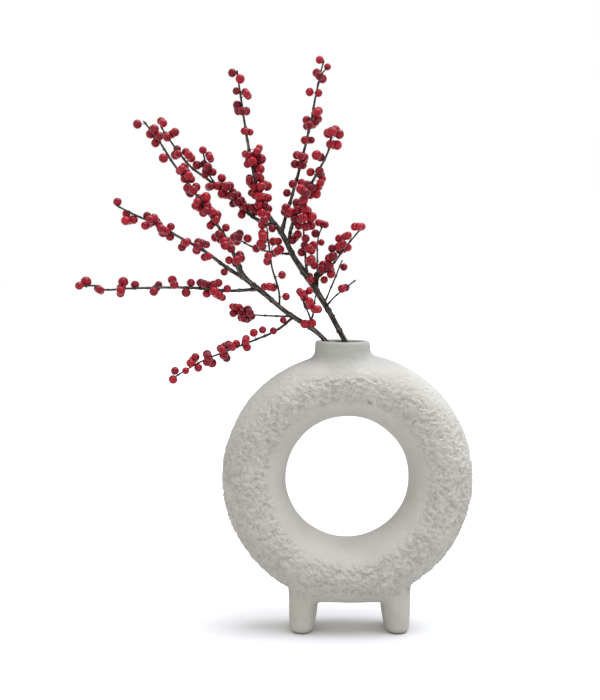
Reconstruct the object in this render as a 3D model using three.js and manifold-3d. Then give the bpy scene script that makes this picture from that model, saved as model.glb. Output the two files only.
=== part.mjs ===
// Two cut winterberry branches standing in a ring-shaped stoneware vase on two feet.
// Millimetres, +Z up. The vase's ring lies in the XZ plane, and its front looks along -Y.

import * as THREE from "three";
import { mergeVertices } from "three/addons/utils/BufferGeometryUtils.js";
import Module from "manifold-3d";

const wasm = await Module();
wasm.setup();

// Ring of the vase: a hollow tube bent into a full circle, and deeper than it is high.
const RING_CENTRE_HEIGHT = 159;
const RING_RADIUS = 96;
const TUBE_RADIUS = 32.5;
const TUBE_DEPTH_RATIO = 1.2;
const WALL = 6;
const RING_SEGMENTS = 40;
const TUBE_SEGMENTS = 18;
const CAVITY_SEGMENTS = 28;
const CAVITY_TUBE_SEGMENTS = 10;

// Neck, a little left of the ring's middle, as on a hand-made piece. Its outside is given from its root up to
// the lip, and its passage from the ring's hollow up to the lip, as [radius, height].
const NECK_X = -5;
const NECK_ROOT_HEIGHT = 260;
const NECK_OUTSIDE = [[38, 262], [38, 279], [32.5, 282.5], [29.6, 287], [28.3, 292]];
const NECK_PASSAGE = [[25, 255], [24.5, 270], [22.5, 282]];
const NECK_HALF_DEPTH = 32;
const RIM_HEIGHT = 300;
const RIM_RADIUS = 28;
const BORE_RADIUS = 22.5;
const LIP = (RIM_RADIUS - BORE_RADIUS) / 2;
const LIP_INSET = LIP * (1 - Math.SQRT1_2);
const NECK_SEGMENTS = 24;
const CUT_ALLOWANCE = 5;

// Feet: flattened pegs that taper down to a small flat face. Profile points are [share of half width, height].
const FEET_X = 2.5;
const FOOT_TOP_HEIGHT = 56;
const FOOT_PROFILE = [[0.68, 0], [0.88, 1.2], [1, 4], [1, 28], [1, FOOT_TOP_HEIGHT]];
const FOOT_OFFSET = { ground: 48.5, top: 46 };
const FOOT_HALF_WIDTH = { ground: 12, top: 16.5 };
const FOOT_HALF_DEPTH = { ground: 23.5, top: 30 };
const FOOT_SQUARENESS = 2.6;
const FOOT_SEGMENTS = 16;

// Clearance that touching pieces keep, the one that crossing sprays keep, and the one between two berries.
const SEAT_GAP = 0.3;
const CROSSING_GAP = 0.8;
const BERRY_GAP = 0.15;

// The point from which the routes below are drawn: a route's points are [x, z] as they show from here on the
// ring's middle plane, and each is moved along its line of sight to its own depth.
const EYE = new THREE.Vector3(-48.7, -1111, 366);

// Wood, as tapering tubes of few sides.
const STEM_SIDES = 8;
const STEM_STEP = 13;
const TWIG_SIDES = 5;
const TWIG_STEP = 16;
const SIDE_TWIG_RADIUS = [0.8, 0.6];

// Berries, each a facetted drop on a stalk. A stalk up to the stout length widens evenly into its berry, and a
// longer one stays thin up to it.
const BERRY_SIDES = 5;
const BERRY_SHOULDER = { reach: 0.88, rise: 0.42 };
const FACET_ALLOWANCE = 1.07;
const STALK_RADIUS = { root: 0.35, end: 0.55 };
const STOUT_LENGTH = 1.5;
const ROOT_DEPTH = 2;

// The stalk lengths that a berry tries in turn, and the places along a stalk that must keep clear.
const STALK_LENGTHS = [0.5, 1.5, 2.5, 4, 5.5, 7.5];
const STALK_PLACES = [0.45, 0.6, 0.75];
const ANY_GAP = -Infinity;

// A berry that shows nearer to its twig than this share of its reach hangs in front of it. The others take
// turns in front and behind.
const FRONT_SHARE = 0.5;

// Of each three berries along a twig, those that are built as solids.
const BUILT_OF_THREE = [0, 1];

// Fineness of the searches along a curve.
const BEAD_STEP = 2;
const SEARCH_STEPS = 400;
const MERGE_DISTANCE = 1e-4;

// Inside the vase the stems end on its wall. At the rim the left one leans to the left, the right one back.
const STEMS = {
  left_stem: {
    route: [[24, 221], [12, 248], [-6, 277], [-24, 301], [-37, 313], [-57, 325], [-83, 346], [-108, 368],
      [-112, 379]],
    depths: [-2, -2, -3, -4, -6, -9, -14, -19, -21],
    radius: [2.7, 1.8],
  },
  right_stem: {
    route: [[44, 214], [34, 234], [16, 266], [-3, 300], [-17, 326], [-33, 353], [-54, 384], [-69, 412],
      [-79, 424]],
    depths: [0, 3, 10, 19, 23, 27, 31, 33, 34],
    radius: [2.9, 1.9],
  },
};

// A spray grows from its stem at the first point of its route, and its tip lies at the depth given. `berries`
// holds [x, z, radius], drawn like the route. A side twig grows from the main one `at` a distance along it.
const SPRAYS = {
  spray_low_left: {
    stem: "left_stem",
    route: [[-56, 323], [-72, 311], [-99, 299], [-125, 289], [-153, 277], [-175, 264]],
    depth: -46,
    radius: [1.1, 0.6],
    berries: [[-66, 321, 3.2], [-76, 310, 3.4], [-87, 311, 3.5], [-96, 308, 3.9], [-104, 302, 3.6],
      [-105, 297, 3.4], [-103, 293, 3.8], [-114, 297, 3.6], [-118, 293, 3.5], [-122, 296, 3.8],
      [-130, 292, 3.8], [-127, 289, 3.4], [-127, 285, 3.9], [-124, 282, 3.8], [-144, 286, 4],
      [-142, 281, 3.7], [-144, 278, 3.9], [-139, 277, 4.3], [-156, 283, 3.9], [-161, 277, 3.8],
      [-153, 272, 3.7], [-166, 269, 3.2], [-177, 269, 3.7], [-179, 260, 4]],
  },
  spray_short_left: {
    stem: "left_stem",
    route: [[-57, 325], [-69, 325], [-91, 326], [-115, 328]],
    depth: 20,
    radius: [0.9, 0.6],
    berries: [[-98, 325, 3.6], [-103, 322, 4], [-109, 323, 3.5], [-102, 332, 4], [-109, 329, 3.9],
      [-111, 334, 3.8], [-117, 328, 3.8], [-118, 335, 3.2]],
  },
  spray_thin_upright: {
    stem: "left_stem",
    route: [[-69, 336], [-70, 349], [-77, 374], [-80, 394], [-83, 420]],
    depth: -36,
    radius: [0.9, 0.6],
    berries: [[-63, 345, 3.7], [-76, 354, 3.7], [-80, 355, 3.8], [-85, 355, 3.5], [-67, 367, 3.7],
      [-82, 381, 3.9], [-81, 386, 3.8], [-87, 396, 3.9], [-89, 399, 3.8], [-86, 403, 3.9], [-87, 409, 4.1],
      [-87, 418, 4.1], [-85, 423, 3.9]],
  },
  spray_level_left: {
    stem: "left_stem",
    route: [[-91, 352], [-123, 351], [-160, 354], [-195, 354], [-228, 353], [-247, 352], [-259, 356],
      [-276, 355]],
    depth: -60,
    radius: [1.4, 0.7],
    berries: [[-123, 353, 3.5], [-128, 344, 3.5], [-132, 359, 3.9], [-134, 348, 4.3], [-137, 357, 4],
      [-139, 353, 4.1], [-143, 357, 3.5], [-144, 348, 3.9], [-150, 359, 3.9], [-160, 359, 3.8],
      [-165, 349, 4.2], [-177, 357, 3.9], [-179, 362, 4.1], [-193, 357, 3.4], [-198, 350, 4],
      [-217, 357, 3.8], [-232, 348, 3.7], [-231, 354, 4.2], [-229, 360, 4.6], [-252, 351, 3.5],
      [-255, 353, 3.6], [-267, 360, 4.8], [-274, 356, 3.6]],
  },
  spray_sloping_left: {
    stem: "left_stem",
    route: [[-102, 362], [-121, 373], [-147, 392], [-169, 404], [-194, 418], [-221, 430], [-234, 437]],
    depth: -48,
    radius: [1.6, 0.7],
    berries: [[-126, 370, 3.4], [-142, 386, 3.5], [-146, 385, 3.6], [-144, 398, 3.5], [-154, 392, 3.9],
      [-152, 400, 4.1], [-163, 401, 3.3], [-166, 399, 4.1], [-169, 395, 3.7], [-181, 406, 4],
      [-180, 416, 3.6], [-185, 412, 3.7], [-188, 410, 4.3], [-192, 418, 3.5], [-197, 425, 3.8],
      [-199, 420, 3.4], [-201, 423, 4], [-204, 427, 3.7], [-206, 417, 3.9], [-218, 423, 4],
      [-226, 422, 4.1], [-225, 429, 3.7], [-234, 441, 3.8]],
  },
  spray_upper_left_front: {
    stem: "left_stem",
    route: [[-112, 379], [-124, 404], [-140, 428], [-159, 455], [-180, 484], [-193, 505], [-206, 521]],
    depth: -6,
    radius: [1.6, 0.7],
    berries: [[-109, 384, 4], [-110, 387, 4.2], [-113, 382, 4.1], [-114, 379, 3.8], [-121, 382, 3.7],
      [-119, 394, 4], [-121, 398, 4.1], [-125, 397, 4.1], [-126, 401, 4.3], [-130, 403, 3.7],
      [-131, 408, 4.1], [-135, 405, 4], [-124, 415, 3.7], [-140, 417, 3.7], [-134, 423, 3.8],
      [-133, 428, 4.2], [-138, 431, 3.9], [-141, 434, 3.5], [-147, 430, 4], [-150, 435, 4.1],
      [-155, 437, 3.7], [-144, 441, 3.6], [-144, 446, 4.5], [-151, 445, 3.6], [-154, 456, 4],
      [-160, 450, 4.2], [-163, 455, 4], [-159, 464, 3.8], [-166, 464, 3.6], [-164, 471, 4.1],
      [-171, 472, 3.3], [-166, 476, 4.1], [-187, 485, 4.4], [-195, 500, 3.9], [-191, 507, 4],
      [-200, 509, 4.1], [-196, 514, 4.4], [-213, 519, 4.2]],
  },
  spray_between_stems: {
    stem: "left_stem",
    route: [[-35, 313], [-40, 328], [-44, 336], [-49, 351]],
    depth: -16,
    radius: [0.9, 0.6],
    berries: [[-24, 310, 3.8], [-36, 318, 3.8], [-39, 317, 4.1], [-44, 317, 4.1], [-38, 336, 4],
      [-41, 336, 4], [-39, 340, 4], [-43, 341, 4.1], [-46, 347, 3.8], [-44, 348, 3.6], [-49, 350, 3.5],
      [-39, 351, 3.5]],
    side: {
      at: 8,
      route: [[-35, 329], [-33, 345]],
      depth: -12,
      berries: [[-30, 332, 3.8], [-34, 332, 3.7]],
    },
  },
  spray_upper_left_back: {
    stem: "right_stem",
    route: [[-72, 416], [-90, 422], [-110, 437], [-140, 462], [-160, 477], [-176, 497], [-189, 516]],
    depth: 52,
    radius: [1.7, 0.7],
    berries: [[-77, 414, 3.7], [-94, 431, 4], [-97, 435, 4.2], [-105, 436, 3.8], [-108, 428, 4],
      [-108, 443, 3.6], [-112, 441, 4.3], [-112, 448, 3.9], [-117, 439, 3.6], [-120, 447, 3.6],
      [-117, 451, 4], [-120, 457, 4.5], [-127, 456, 4.4], [-128, 449, 4.3], [-128, 465, 4.2],
      [-133, 457, 4], [-138, 457, 3.6], [-141, 456, 4], [-153, 478, 4.4], [-159, 485, 4.3],
      [-164, 491, 4.1], [-172, 489, 3.8], [-175, 488, 4.5], [-173, 494, 3.8], [-183, 506, 4.3],
      [-185, 508, 3.8], [-178, 509, 4], [-175, 511, 4.2], [-187, 520, 4.1], [-189, 522, 4]],
    side: {
      at: 78,
      route: [[-143, 473], [-147, 493]],
      depth: 46,
      berries: [[-137, 471, 3.9], [-144, 472, 4.1], [-145, 468, 3.6], [-142, 476, 4.3], [-146, 479, 3.9],
        [-139, 484, 3.5], [-141, 488, 3.6], [-147, 493, 3.8]],
    },
  },
  spray_top_middle: {
    stem: "right_stem",
    route: [[-79, 424], [-87, 440], [-95, 468], [-102, 503], [-108, 543], [-112, 571]],
    depth: 6,
    radius: [1.7, 0.7],
    berries: [[-83, 428, 4.2], [-88, 430, 4.4], [-81, 434, 4.1], [-85, 438, 4.1], [-91, 438, 3.9],
      [-90, 443, 3.7], [-86, 446, 3.9], [-81, 445, 3.9], [-94, 448, 4.3], [-98, 450, 3.5], [-90, 454, 4.2],
      [-95, 456, 4.2], [-86, 459, 4.2], [-82, 457, 4.7], [-100, 461, 3.6], [-100, 465, 3.6],
      [-89, 465, 4.1], [-93, 470, 3.8], [-89, 474, 4.4], [-93, 478, 4], [-102, 479, 3.7], [-97, 482, 4.3],
      [-88, 484, 4.8], [-94, 488, 4.3], [-99, 487, 3.7], [-104, 489, 3.7], [-90, 495, 3.6], [-99, 511, 3.3],
      [-105, 512, 3.5], [-103, 532, 4.1], [-111, 532, 3.9], [-112, 538, 4.2], [-101, 547, 3.5],
      [-104, 551, 3.7], [-113, 552, 3.5], [-109, 564, 4.3], [-117, 570, 4]],
  },
  spray_top_right: {
    stem: "right_stem",
    route: [[-68, 410], [-59, 440], [-51, 467], [-43, 499], [-37, 524], [-32, 552], [-25, 582]],
    depth: 56,
    radius: [1.6, 0.7],
    berries: [[-60, 429, 4], [-64, 431, 4.2], [-63, 435, 4.2], [-62, 450, 3.9], [-56, 459, 4.1],
      [-47, 460, 4.1], [-46, 478, 4.1], [-54, 479, 4.1], [-44, 486, 3.9], [-52, 488, 4.1], [-37, 503, 3.4],
      [-44, 503, 3.9], [-42, 517, 3.7], [-36, 519, 4.4], [-42, 523, 4.2], [-30, 524, 3.7], [-33, 529, 4],
      [-30, 532, 4.3], [-30, 550, 3.8], [-39, 551, 4.1], [-26, 564, 4.3], [-32, 570, 4.2], [-29, 583, 3.9]],
    side: {
      at: 162,
      route: [[-26, 570], [-21, 575]],
      depth: 52,
      berries: [[-21, 576, 3.4]],
    },
  },
  spray_right_fork: {
    stem: "right_stem",
    route: [[-62, 397], [-57, 416], [-46, 444], [-33, 467], [-20, 492], [-17, 506]],
    depth: -6,
    radius: [1.5, 0.8],
    berries: [[-56, 402, 3.7], [-51, 408, 4.2], [-50, 417, 4], [-54, 424, 4.2], [-58, 431, 3.9],
      [-50, 433, 4.2], [-52, 440, 4.2], [-38, 448, 4.1], [-32, 449, 4.4], [-37, 455, 4.1], [-41, 458, 4.3],
      [-30, 456, 3.9], [-26, 464, 3.6], [-38, 471, 4], [-29, 472, 4.1], [-28, 486, 4.1], [-32, 488, 4.6],
      [-18, 499, 4], [-11, 498, 4.5], [-20, 510, 4.6], [-9, 509, 4.5], [-13, 513, 4.6]],
  },
  spray_inner_upright: {
    stem: "right_stem",
    route: [[-41, 366], [-43, 384], [-45, 415], [-43, 439], [-42, 453]],
    depth: -14,
    radius: [1.1, 0.6],
    berries: [[-38, 362, 3.4], [-39, 366, 3.4], [-34, 377, 4.1], [-40, 381, 3.7], [-37, 383, 4.2],
      [-47, 390, 4], [-37, 392, 4], [-40, 394, 4.2], [-35, 397, 4.3], [-44, 397, 3.9], [-43, 404, 3.9],
      [-43, 416, 4.1], [-37, 417, 4], [-38, 424, 4.3], [-48, 424, 4.1], [-42, 426, 4.2], [-36, 426, 4.2],
      [-39, 431, 3.9], [-43, 433, 4.2], [-46, 439, 4.2], [-45, 443, 4.3], [-43, 450, 4.4], [-48, 454, 4.4]],
  },
  spray_back_upright: {
    stem: "right_stem",
    route: [[-31, 350], [-31, 374], [-31, 393], [-30, 406], [-26, 416]],
    depth: 50,
    radius: [0.9, 0.6],
    berries: [[-31, 367, 3.4], [-34, 359, 3.3], [-27, 400, 3.3], [-33, 409, 4.2], [-30, 420, 3.6],
      [-23, 418, 3.6]],
  },
  spray_outer_right: {
    stem: "right_stem",
    route: [[-37, 360], [-18, 375], [-1, 397], [14, 415]],
    depth: 2,
    radius: [1.0, 0.6],
    berries: [[-24, 362, 3.7], [-17, 368, 4.2], [-26, 373, 4.2], [-25, 377, 4.5], [-30, 378, 3.9],
      [-19, 376, 4.4], [-19, 384, 4.3], [-15, 386, 4.4], [-19, 390, 3.8], [-23, 388, 3.3], [-16, 394, 3.9],
      [-8, 392, 3.8], [-9, 396, 4.1], [-5, 398, 3.9], [0, 395, 3.8], [-9, 404, 3.9], [-3, 406, 3.6],
      [0, 407, 3.8], [7, 416, 3.9], [14, 416, 3.7]],
  },
  spray_bare_twig_high: {
    stem: "right_stem",
    route: [[-24, 338], [-17, 354], [-9, 374], [-6, 381]],
    depth: 44,
    radius: [0.8, 0.6],
    berries: [[-4, 375, 3.7]],
  },
  spray_bare_twig_low: {
    stem: "right_stem",
    route: [[-22, 335], [-13, 345], [-2, 354], [7, 361]],
    depth: -4,
    radius: [0.8, 0.6],
    berries: [[-6, 353, 3.9], [-2, 354, 3.7]],
  },
  spray_backward_left: {
    stem: "right_stem",
    route: [[-57, 388], [-77, 390], [-98, 396], [-114, 405]],
    depth: 44,
    radius: [1.0, 0.6],
    berries: [[-69, 393, 4.2], [-71, 401, 4], [-76, 401, 4.2], [-75, 389, 3.7], [-93, 394, 4.1],
      [-102, 404, 4.2], [-110, 409, 4], [-113, 401, 4.2], [-116, 405, 4.2], [-120, 401, 4.3],
      [-121, 405, 4.1]],
  },
};

const STONEWARE = { color: 0xc9c7bd, roughness: 0.9, metalness: 0 };
const BARK = { color: 0x4a3f3a, roughness: 0.8, metalness: 0 };
const BERRY_RED = { color: 0xb01e32, roughness: 0.35, metalness: 0 };

// A closed geometry as a solid, with shared vertices merged and collapsed faces left out.
function toSolid(geometry) {
  const bare = new THREE.BufferGeometry().setAttribute("position", geometry.getAttribute("position"));
  if (geometry.index) {
    bare.setIndex(geometry.index);
  }
  const merged = mergeVertices(bare, MERGE_DISTANCE);
  const corners = merged.index.array;
  const kept = [];
  for (let i = 0; i < corners.length; i += 3) {
    const [a, b, c] = corners.slice(i, i + 3);
    if (a !== b && b !== c && c !== a) {
      kept.push(a, b, c);
    }
  }
  return new wasm.Manifold(
    new wasm.Mesh({
      numProp: 3,
      vertProperties: new Float32Array(merged.attributes.position.array),
      triVerts: new Uint32Array(kept),
    }),
  );
}

// The largest body of a solid as a geometry. Loose scraps and sealed hollows go.
function toGeometry(solid) {
  const bodies = solid.decompose();
  const largest = bodies.reduce((a, b) => (b.volume() > a.volume() ? b : a));
  const mesh = largest.getMesh();
  const geometry = new THREE.BufferGeometry();
  geometry.setAttribute("position", new THREE.BufferAttribute(mesh.vertProperties, 3));
  geometry.setIndex(new THREE.BufferAttribute(mesh.triVerts, 1));
  geometry.computeVertexNormals();
  return geometry;
}

// A tube bent into the vase's ring, standing upright round its centre.
function ringTube(tubeRadius, tubeSegments, ringSegments) {
  const ring = new THREE.TorusGeometry(RING_RADIUS, tubeRadius, tubeSegments, ringSegments);
  ring.rotateX(Math.PI / 2);
  ring.scale(1, TUBE_DEPTH_RATIO, 1);
  ring.translate(0, 0, RING_CENTRE_HEIGHT);
  return toSolid(ring);
}

// The hollow of the ring, made smaller all round by a clearance.
function cavity(clearance) {
  return ringTube(TUBE_RADIUS - WALL - clearance, CAVITY_TUBE_SEGMENTS, CAVITY_SEGMENTS);
}

// A solid of revolution about the vertical, from a profile of [radius, height].
function lathe(profile, segments) {
  const points = profile.map(([radius, height]) => new THREE.Vector2(radius, height));
  return new THREE.LatheGeometry(points, segments).rotateX(Math.PI / 2);
}

// A solid turned about the neck's axis. Where it is wider than the neck is deep, it is pressed flat to that
// depth, so that it stays within the ring's thickness.
function turnedOnNeck(profile) {
  const form = lathe(profile, NECK_SEGMENTS);
  const place = form.getAttribute("position");
  for (let i = 0; i < place.count; i++) {
    const reach = Math.hypot(place.getX(i), place.getY(i));
    place.setY(i, place.getY(i) * Math.min(1, NECK_HALF_DEPTH / Math.max(reach, 1)));
  }
  return toSolid(form.translate(NECK_X, 0, 0));
}

// The neck with its flare into the ring and its rounded lip.
function neck() {
  return turnedOnNeck([
    [0, NECK_ROOT_HEIGHT],
    ...NECK_OUTSIDE,
    [RIM_RADIUS, RIM_HEIGHT - LIP],
    [RIM_RADIUS - LIP_INSET, RIM_HEIGHT - LIP_INSET],
    [RIM_RADIUS - LIP, RIM_HEIGHT],
    [0, RIM_HEIGHT],
  ]);
}

// The passage through the neck, down into the hollow ring.
function bore() {
  const [[, floor]] = NECK_PASSAGE;
  return turnedOnNeck([
    [0, floor],
    ...NECK_PASSAGE,
    [BORE_RADIUS, RIM_HEIGHT - LIP],
    [BORE_RADIUS + LIP_INSET, RIM_HEIGHT - LIP_INSET],
    [BORE_RADIUS + LIP, RIM_HEIGHT],
    [BORE_RADIUS + LIP, RIM_HEIGHT + CUT_ALLOWANCE],
    [0, RIM_HEIGHT + CUT_ALLOWANCE],
  ]);
}

// One foot, on the side given by -1 or 1, turned as a unit peg and then pressed to its flattened section.
function foot(side) {
  const peg = lathe([[0, 0], ...FOOT_PROFILE, [0, FOOT_TOP_HEIGHT]], FOOT_SEGMENTS);
  const place = peg.getAttribute("position");
  for (let i = 0; i < place.count; i++) {
    const reach = Math.hypot(place.getX(i), place.getY(i));
    const angle = Math.atan2(place.getY(i), place.getX(i));
    const cos = Math.abs(Math.cos(angle)) ** FOOT_SQUARENESS;
    const sin = Math.abs(Math.sin(angle)) ** FOOT_SQUARENESS;
    const bulge = reach * (cos + sin) ** (-1 / FOOT_SQUARENESS);
    const risen = THREE.MathUtils.clamp(place.getZ(i) / FOOT_TOP_HEIGHT, 0, 1);
    const between = ({ ground, top }, share) => THREE.MathUtils.lerp(ground, top, share);
    const middle = FEET_X + side * between(FOOT_OFFSET, risen);
    place.setX(i, middle + bulge * Math.cos(angle) * between(FOOT_HALF_WIDTH, Math.sqrt(risen)));
    place.setY(i, bulge * Math.sin(angle) * between(FOOT_HALF_DEPTH, risen));
  }
  return toSolid(peg);
}

// The whole vase: ring, neck and feet in one piece, hollow in the ring and open at the neck.
function vaseSolid() {
  const outside = ringTube(TUBE_RADIUS, TUBE_SEGMENTS, RING_SEGMENTS).add(neck()).add(foot(-1)).add(foot(1));
  return outside.subtract(cavity(0)).subtract(bore());
}

// A point drawn at [x, z] on the middle plane, moved along its line of sight to a depth y.
function atDepth([x, z], y) {
  const drawn = new THREE.Vector3(x, 0, z);
  return drawn.sub(EYE).multiplyScalar((y - EYE.y) / -EYE.y).add(EYE);
}

// The place where a point shows on the middle plane.
function toDrawn(point) {
  const share = -EYE.y / (point.y - EYE.y);
  return [EYE.x + (point.x - EYE.x) * share, EYE.z + (point.z - EYE.z) * share];
}

// A smooth curve through drawn points, each at its own depth.
function drawnCurve(points, depths) {
  const places = points.map((point, i) => atDepth(point, depths[i]));
  return new THREE.CatmullRomCurve3(places, false, "centripetal");
}

// The share of a curve's length at which it shows nearest to a drawn point.
function nearestShare(curve, [x, z]) {
  const misses = curve.getSpacedPoints(SEARCH_STEPS).map((place) => {
    const [drawnX, drawnZ] = toDrawn(place);
    return Math.hypot(drawnX - x, drawnZ - z);
  });
  return misses.indexOf(Math.min(...misses)) / SEARCH_STEPS;
}

// A twig's curve from its root on the wood that it grows from, through drawn points. Its depth goes evenly
// from the root's to the tip's.
function twigCurve(root, points, tipDepth) {
  const route = [toDrawn(root), ...points];
  const depths = route.map((_, i) => THREE.MathUtils.lerp(root.y, tipDepth, i / points.length));
  return drawnCurve(route, depths);
}

// The twigs of a spray: the main one and, on some, a side twig.
function twigsOf(spray) {
  const stem = stemCurves[spray.stem];
  const root = stem.getPointAt(nearestShare(stem, spray.route[0]));
  const main = twigCurve(root, spray.route.slice(1), spray.depth);
  const grown = [{ curve: main, radius: spray.radius, berries: spray.berries }];
  if (spray.side) {
    const fork = main.getPointAt(spray.side.at / main.getLength());
    const curve = twigCurve(fork, spray.side.route, spray.side.depth);
    grown.push({ curve, radius: SIDE_TWIG_RADIUS, berries: spray.side.berries });
  }
  return grown;
}

// Beads that stand for a tapering tube when distances are measured.
function beadsAlong(curve, [baseRadius, tipRadius], owner) {
  const count = Math.ceil(curve.getLength() / BEAD_STEP);
  return curve.getSpacedPoints(count).map((centre, i) => ({
    centre,
    radius: THREE.MathUtils.lerp(baseRadius, tipRadius, i / count),
    owner,
  }));
}

const stemCurves = Object.fromEntries(
  Object.entries(STEMS).map(([name, stem]) => [name, drawnCurve(stem.route, stem.depths)]),
);
const twigs = Object.fromEntries(Object.entries(SPRAYS).map(([name, spray]) => [name, twigsOf(spray)]));

// All wood as beads, and the berries and stalks that have found their place.
const wood = [
  ...Object.entries(STEMS).flatMap(([name, stem]) => beadsAlong(stemCurves[name], stem.radius, name)),
  ...Object.entries(twigs).flatMap(([name, grown]) =>
    grown.flatMap((twig) => beadsAlong(twig.curve, twig.radius, name)),
  ),
];
const placedBerries = [];
const placedStalks = [];

// True where a body keeps a gap from each of the others, and its own gap from those of its own spray.
function keepsClear(body, others, ownGap) {
  return others.every((other) => {
    const gap = other.owner === body.owner ? ownGap : CROSSING_GAP;
    return body.centre.distanceTo(other.centre) > body.radius + other.radius + gap;
  });
}

// A berry's stalk as beads.
function stalkBeads({ root, centre, owner }) {
  const radius = STALK_RADIUS.end;
  return STALK_PLACES.map((share) => ({ centre: root.clone().lerp(centre, share), radius, owner }));
}

// True where a berry and its stalk both have room.
function hasRoom(berry) {
  const bodies = [...wood, ...placedBerries, ...placedStalks];
  return (
    keepsClear(berry, wood, 0) &&
    keepsClear(berry, placedBerries, BERRY_GAP) &&
    keepsClear(berry, placedStalks, ANY_GAP) &&
    stalkBeads(berry).every((bead) => keepsClear(bead, bodies, ANY_GAP))
  );
}

// The number of straight stretches in a curve's tube.
function stretches(curve, step) {
  return Math.max(2, Math.round(curve.getLength() / step));
}

// The point at a share of a twig's length, in the middle of its tube.
function insideTwig(curve, share) {
  const count = stretches(curve, TWIG_STEP);
  const bends = curve.getSpacedPoints(count);
  const before = Math.min(Math.floor(share * count), count - 1);
  return bends[before].clone().lerp(bends[before + 1], share * count - before);
}

// A berry that shows at its drawn place, on the shortest stalk that has room. Undefined where none has.
function hungBerry(twig, owner, [x, z, radius], number) {
  const last = 1 - ROOT_DEPTH / twig.curve.getLength();
  const share = Math.min(nearestShare(twig.curve, [x, z]), last);
  const root = twig.curve.getPointAt(share);
  const aside = atDepth([x, z], root.y).distanceTo(root);
  for (const stalk of STALK_LENGTHS) {
    const reach = THREE.MathUtils.lerp(...twig.radius, share) + stalk + radius;
    const slack = Math.sqrt(Math.max(reach ** 2 - aside ** 2, 0));
    const inFront = aside < FRONT_SHARE * reach || number % 2 === 0;
    for (const side of inFront ? [-1, 1] : [1, -1]) {
      const berry = { root, centre: atDepth([x, z], root.y + side * slack), radius, owner };
      if (hasRoom(berry)) {
        return { ...berry, foot: insideTwig(twig.curve, share), isStout: stalk <= STOUT_LENGTH };
      }
    }
  }
  return undefined;
}

// The berries of a twig that are built. All of them take up room.
function berriesOn(twig, owner) {
  const hung = twig.berries.map((place, number) => {
    const berry = hungBerry(twig, owner, place, number);
    if (berry) {
      placedBerries.push(berry);
      placedStalks.push(...stalkBeads(berry));
    }
    return berry;
  });
  return hung.filter((berry, number) => berry && BUILT_OF_THREE.includes(number % 3));
}

// A closed tube along a curve that thins from its first radius to its last.
function taperedTube(curve, [baseRadius, tipRadius], sides, step) {
  const steps = stretches(curve, step);
  const outline = Array.from({ length: sides }, (_, i) => {
    const angle = (2 * Math.PI * i) / sides;
    return new THREE.Vector2(baseRadius * Math.cos(angle), baseRadius * Math.sin(angle));
  });
  const section = new THREE.Shape(outline);
  const tube = new THREE.ExtrudeGeometry(section, { steps, extrudePath: curve, bevelEnabled: false });
  const centres = curve.getSpacedPoints(steps);
  const place = tube.getAttribute("position");
  const corner = new THREE.Vector3();
  for (let i = 0; i < place.count; i++) {
    corner.fromBufferAttribute(place, i);
    let nearest = 0;
    centres.forEach((centre, k) => {
      if (corner.distanceTo(centre) < corner.distanceTo(centres[nearest])) {
        nearest = k;
      }
    });
    const thinned = THREE.MathUtils.lerp(1, tipRadius / baseRadius, nearest / steps);
    corner.sub(centres[nearest]).multiplyScalar(thinned).add(centres[nearest]);
    place.setXYZ(i, corner.x, corner.y, corner.z);
  }
  return toSolid(tube);
}

// A berry turned in one piece with its stalk, which is rooted in the middle of the twig.
function berrySolid({ foot: root, centre, radius, isStout }) {
  const span = centre.clone().sub(root);
  const height = span.length();
  const size = radius * FACET_ALLOWANCE;
  const shoulder = BERRY_SHOULDER.reach * size;
  const thinStalk = isStout ? [] : [[STALK_RADIUS.end, height - size]];
  const profile = [
    [0, 0],
    [STALK_RADIUS.root, 0],
    ...thinStalk,
    [shoulder, height - BERRY_SHOULDER.rise * size],
    [shoulder, height + BERRY_SHOULDER.rise * size],
    [0, height + size],
  ];
  const berry = lathe(profile, BERRY_SIDES);
  const upright = new THREE.Vector3(0, 0, 1);
  berry.applyQuaternion(new THREE.Quaternion().setFromUnitVectors(upright, span.normalize()));
  berry.translate(root.x, root.y, root.z);
  return toSolid(berry);
}

// A stem, cut back where it would touch the inside of the vase.
function stemSolid(name) {
  const airSize = 3 * RIM_HEIGHT;
  const airAbove = new THREE.BoxGeometry(airSize, airSize, airSize);
  airAbove.translate(0, 0, RING_CENTRE_HEIGHT + RING_RADIUS + airSize / 2);
  const room = cavity(SEAT_GAP).add(toSolid(airAbove));
  return taperedTube(stemCurves[name], STEMS[name].radius, STEM_SIDES, STEM_STEP).intersect(room);
}

// A stem's tube made thicker by the seat gap, which is cut out of the sprays that grow from it.
function stemSeat(name) {
  const grown = STEMS[name].radius.map((radius) => radius + SEAT_GAP);
  return taperedTube(stemCurves[name], grown, STEM_SIDES, STEM_STEP);
}

// A spray: its twigs and berries in one body, seated on its stem.
function spraySolid(name) {
  const members = twigs[name].flatMap((twig) => [
    taperedTube(twig.curve, twig.radius, TWIG_SIDES, TWIG_STEP),
    ...berriesOn(twig, name).map(berrySolid),
  ]);
  return members.reduce((body, member) => body.add(member)).subtract(stemSeat(SPRAYS[name].stem));
}

// A solid as a named mesh with its own finish.
function piece(name, solid, finish) {
  const mesh = new THREE.Mesh(toGeometry(solid), new THREE.MeshStandardMaterial(finish));
  mesh.name = name;
  return mesh;
}

const vase = new THREE.Group();
vase.add(piece("vase", vaseSolid(), STONEWARE));

const branches = new THREE.Group();
for (const name of Object.keys(STEMS)) {
  branches.add(piece(name, stemSolid(name), BARK));
}
for (const name of Object.keys(SPRAYS)) {
  branches.add(piece(name, spraySolid(name), BERRY_RED));
}

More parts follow.
